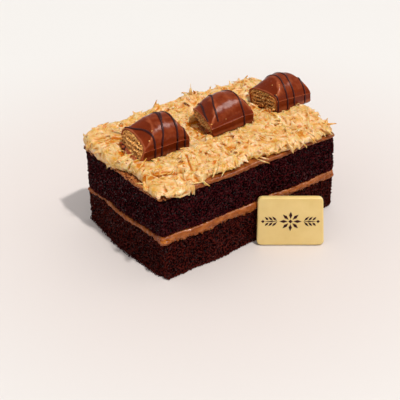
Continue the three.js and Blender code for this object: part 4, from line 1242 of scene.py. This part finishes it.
# Dark crumbs on the table along the left foot stand in for the shade there: painted shade.
crumb_places += foot_shade_places(380)
lay_crumbs("sponge_crumbs", crumb_places, (0.3, 0.7), upper_material, "sponge")
surface = surface_of(filling)
rim = (np.abs(surface.middles[:, :2]) > SLAB_HALF - RIM_WIDTH).any(axis=1)
filling_bits = places_on(surface, rim & (surface.ways[:, 2] < -0.25), 420)
lay_crumbs("caramel_bits", filling_bits, (0.4, 1.3), caramel_material, "filling")
surface = surface_of(spread)
on_left = (surface.middles[:, 0] < SPREAD_LEFT) & (surface.ways[:, 2] > -0.4)
spread_bits = places_on(surface, on_left, 900)
lay_crumbs("sponge_crumbs_on_spread", spread_bits[::3], (0.4, 1.2), upper_material, "sponge")
lay_crumbs("spread_crumbs", spread_bits[1::3] + spread_bits[2::3], (0.5, 1.4), toasted_material, "spread")


def by_the_cut(bar, out, y, z, lift=0):
    """A place so far along a bar from its slanted cut, so far across, and so far up. It may be lifted
    further."""
    return bar_matrix(bar) @ Vector((along_bar(bar, out, y, z), y, z + lift)) * MM


cut_dust = []
for bar, count in zip(BARS, (60, 150, 110)):
    for _ in range(count):
        y = random.uniform(-10, 9)
        spot = by_the_cut(bar, -abs(random.normal()) * 1.6 - 0.3, y, 0)
        cut_dust.append(core_tree.find_nearest(spot)[0])
lay_crumbs("cut_dust", cut_dust, (0.4, 1.2), toasted_material, "kunafa")
for bar, count in zip(BARS, (50, 40, 110)):
    spots = []
    for y, level in zip(random.uniform(-8.5, 8.5, count), random.uniform(0.08, 0.92, count)):
        top = band_height(bar, 0) + dome_height(bar, 0, y / BAR_HALF) - COAT_WALL
        z = BAR_FOOT + 1 + level * (top - BAR_FOOT - 1)
        spots.append(by_the_cut(bar, random.uniform(-0.5, 0.1), y, z))
    lay_crumbs(bar["name"] + "_cut_crumbs", spots, (0.4, 1.0), wafer_material, "wafer")

# Flakes of wafer on the coats: share of the length from the cut, and share across.
FLAKES = {
    "bar_left": [(0.17, -0.42), (0.21, -0.62), (0.1, -0.86)],
    "bar_middle": [(0.04, -0.95), (0.3, -0.98)],
    "bar_right": [(0.16, -0.35), (0.22, -0.68), (0.2, -0.75), (0.05, -0.9)],
}
for bar in BARS:
    spots = [bar_matrix(bar) @ Vector(on_the_coat(bar, *flake)) * MM for flake in FLAKES[bar["name"]]]
    lay_crumbs(bar["name"] + "_flakes", spots, (0.5, 0.9), wafer_material, "wafer")

# What broke off at the cuts: bar, name, start and end across the bar, count and material.
# The left bar's dark chunks are broken coat in the dark chocolate's colour: painted shade under its cut.
CHUNKS = [
    (BARS[0], "shade_dark_chunks", -9.5, 9, 26, stripe_material),
    (BARS[0], "milk_chunks", -9.5, 9, 60, coat_material),
    (BARS[1], "milk_chunks", -10, -4, 14, coat_material),
    (BARS[2], "wafer_chunks", -9, 7, 30, wafer_material),
]
for bar, label, start, end, count, chunk_material in CHUNKS:
    spots = [by_the_cut(bar, random.uniform(-1.7, -0.2), y, 0, lift)
             for y, lift in zip(np.linspace(start, end, count), random.uniform(-0.4, 1.5, count))]
    lay_crumbs(bar["name"] + "_" + label, spots, (0.8, 1.9), chunk_material, "chocolate")


# Plaque
# A small tablet of pale white chocolate, cast with rounded edges, stands on the table and leans on
# the cake's front. A plain ornament is printed on it in dark chocolate.
PLAQUE_SIZE = (35.2, 3.2, 27.8)
PLAQUE_TAPER = 1.6
PLAQUE_CORNER = 2.5
PLAQUE_EDGE = 0.8
PLAQUE_PLACE = (-1.9, -40.2)
PLAQUE_TURN = -36.7
PLAQUE_LEAN = 5.5


def plaque_matrix(lift):
    """Where the plaque stands, and how it is turned and leans."""
    place = Matrix.Translation((PLAQUE_PLACE[0] * MM, PLAQUE_PLACE[1] * MM, lift))
    turn = Matrix.Rotation(math.radians(PLAQUE_TURN), 4, "Z")
    return place @ turn @ Matrix.Rotation(math.radians(-PLAQUE_LEAN), 4, "X")


bpy.ops.mesh.primitive_cube_add(size=1)
plaque = bpy.context.object
plaque.name = plaque.data.name = "white_chocolate_plaque"
for vertex in plaque.data.vertices:
    spot = [(vertex.co[k] + 0.5) * PLAQUE_SIZE[k] * MM for k in range(3)]
    if vertex.co.x > 0 and vertex.co.z > 0:
        spot[0] -= PLAQUE_TAPER * MM
    vertex.co = spot
only(plaque)
bpy.ops.object.mode_set(mode="EDIT")
bpy.ops.mesh.select_mode(type="EDGE")
bpy.ops.mesh.select_all(action="DESELECT")
bpy.ops.object.mode_set(mode="OBJECT")
for edge in plaque.data.edges:
    a, b = (plaque.data.vertices[k].co for k in edge.vertices)
    edge.select = abs(a.y - b.y) > 0.001
bpy.ops.object.mode_set(mode="EDIT")
bpy.ops.mesh.bevel(offset=PLAQUE_CORNER * MM, segments=10, affect="EDGES")
bpy.ops.object.mode_set(mode="OBJECT")
edge = plaque.modifiers.new("edge", "BEVEL")
edge.width = PLAQUE_EDGE * MM
edge.segments = 6
edge.limit_method = "ANGLE"
edge.angle_limit = math.radians(50)
apply_modifiers(plaque)
plaque_lift = -min((plaque_matrix(0) @ vertex.co).z for vertex in plaque.data.vertices)
plaque.data.transform(plaque_matrix(plaque_lift))
PLAQUE_COLOURS = [(0.3, 0.79, 0.56, 0.2), (0.7, 0.85, 0.625, 0.245)]
plaque_material = food_look("white_chocolate", PLAQUE_COLOURS, 90, 0.03, (0.32, 0.42), Subsurface_Weight=0.15,
                            Subsurface_Scale=0.003, Subsurface_Radius=(1, 0.7, 0.35), Specular_IOR_Level=0.6)
finish_piece(plaque, plaque_material, "plaque", "plaque")


# Printed ornament
# Dark chocolate print, less than a tenth of a millimetre thick: a rosette between two leaf sprays.
PRINT_THICKNESS = 0.08
PRINT_MIDDLE = (17.2, 14.2)


def ornament():
    """Lozenges of the print: place across and up, half length, half width and turn of each."""
    yield 0, 0, 1.1, 1.1, 0
    for k in range(8):
        turn = k * math.pi / 4
        yield 3.6 * math.cos(turn), 3.6 * math.sin(turn), 2.1, 0.85, turn
    for side in (-1, 1):
        yield side * 10, 0, 3.4, 0.34, 0
        yield side * 14.3, 0, 0.9, 0.9, 0
        for k in range(3):
            for up in (-1, 1):
                yield side * (8.3 + 2 * k), up * 1.6, 1.8 - 0.2 * k, 0.62, side * up * 0.8


marks = []
for across, up, half_length, half_width, turn in ornament():
    bpy.ops.mesh.primitive_cylinder_add(vertices=4, radius=1, depth=2)
    mark = bpy.context.object
    mark.data.transform(Matrix.Rotation(math.pi / 2, 4, "X"))
    mark.data.transform(Matrix.Diagonal((half_length * MM, PRINT_THICKNESS * MM, half_width * MM, 1)))
    mark.data.transform(Matrix.Rotation(-turn, 4, "Y"))
    place = Vector((PRINT_MIDDLE[0] + across, 0, PRINT_MIDDLE[1] + up)) * MM
    mark.data.transform(plaque_matrix(plaque_lift) @ Matrix.Translation(place))
    marks.append(mark)
only(marks[0])
for mark in marks:
    mark.select_set(True)
bpy.ops.object.join()
prints = bpy.context.object
prints.name = prints.data.name = "plaque_print"
finish_piece(prints, stripe_material, "chocolate")
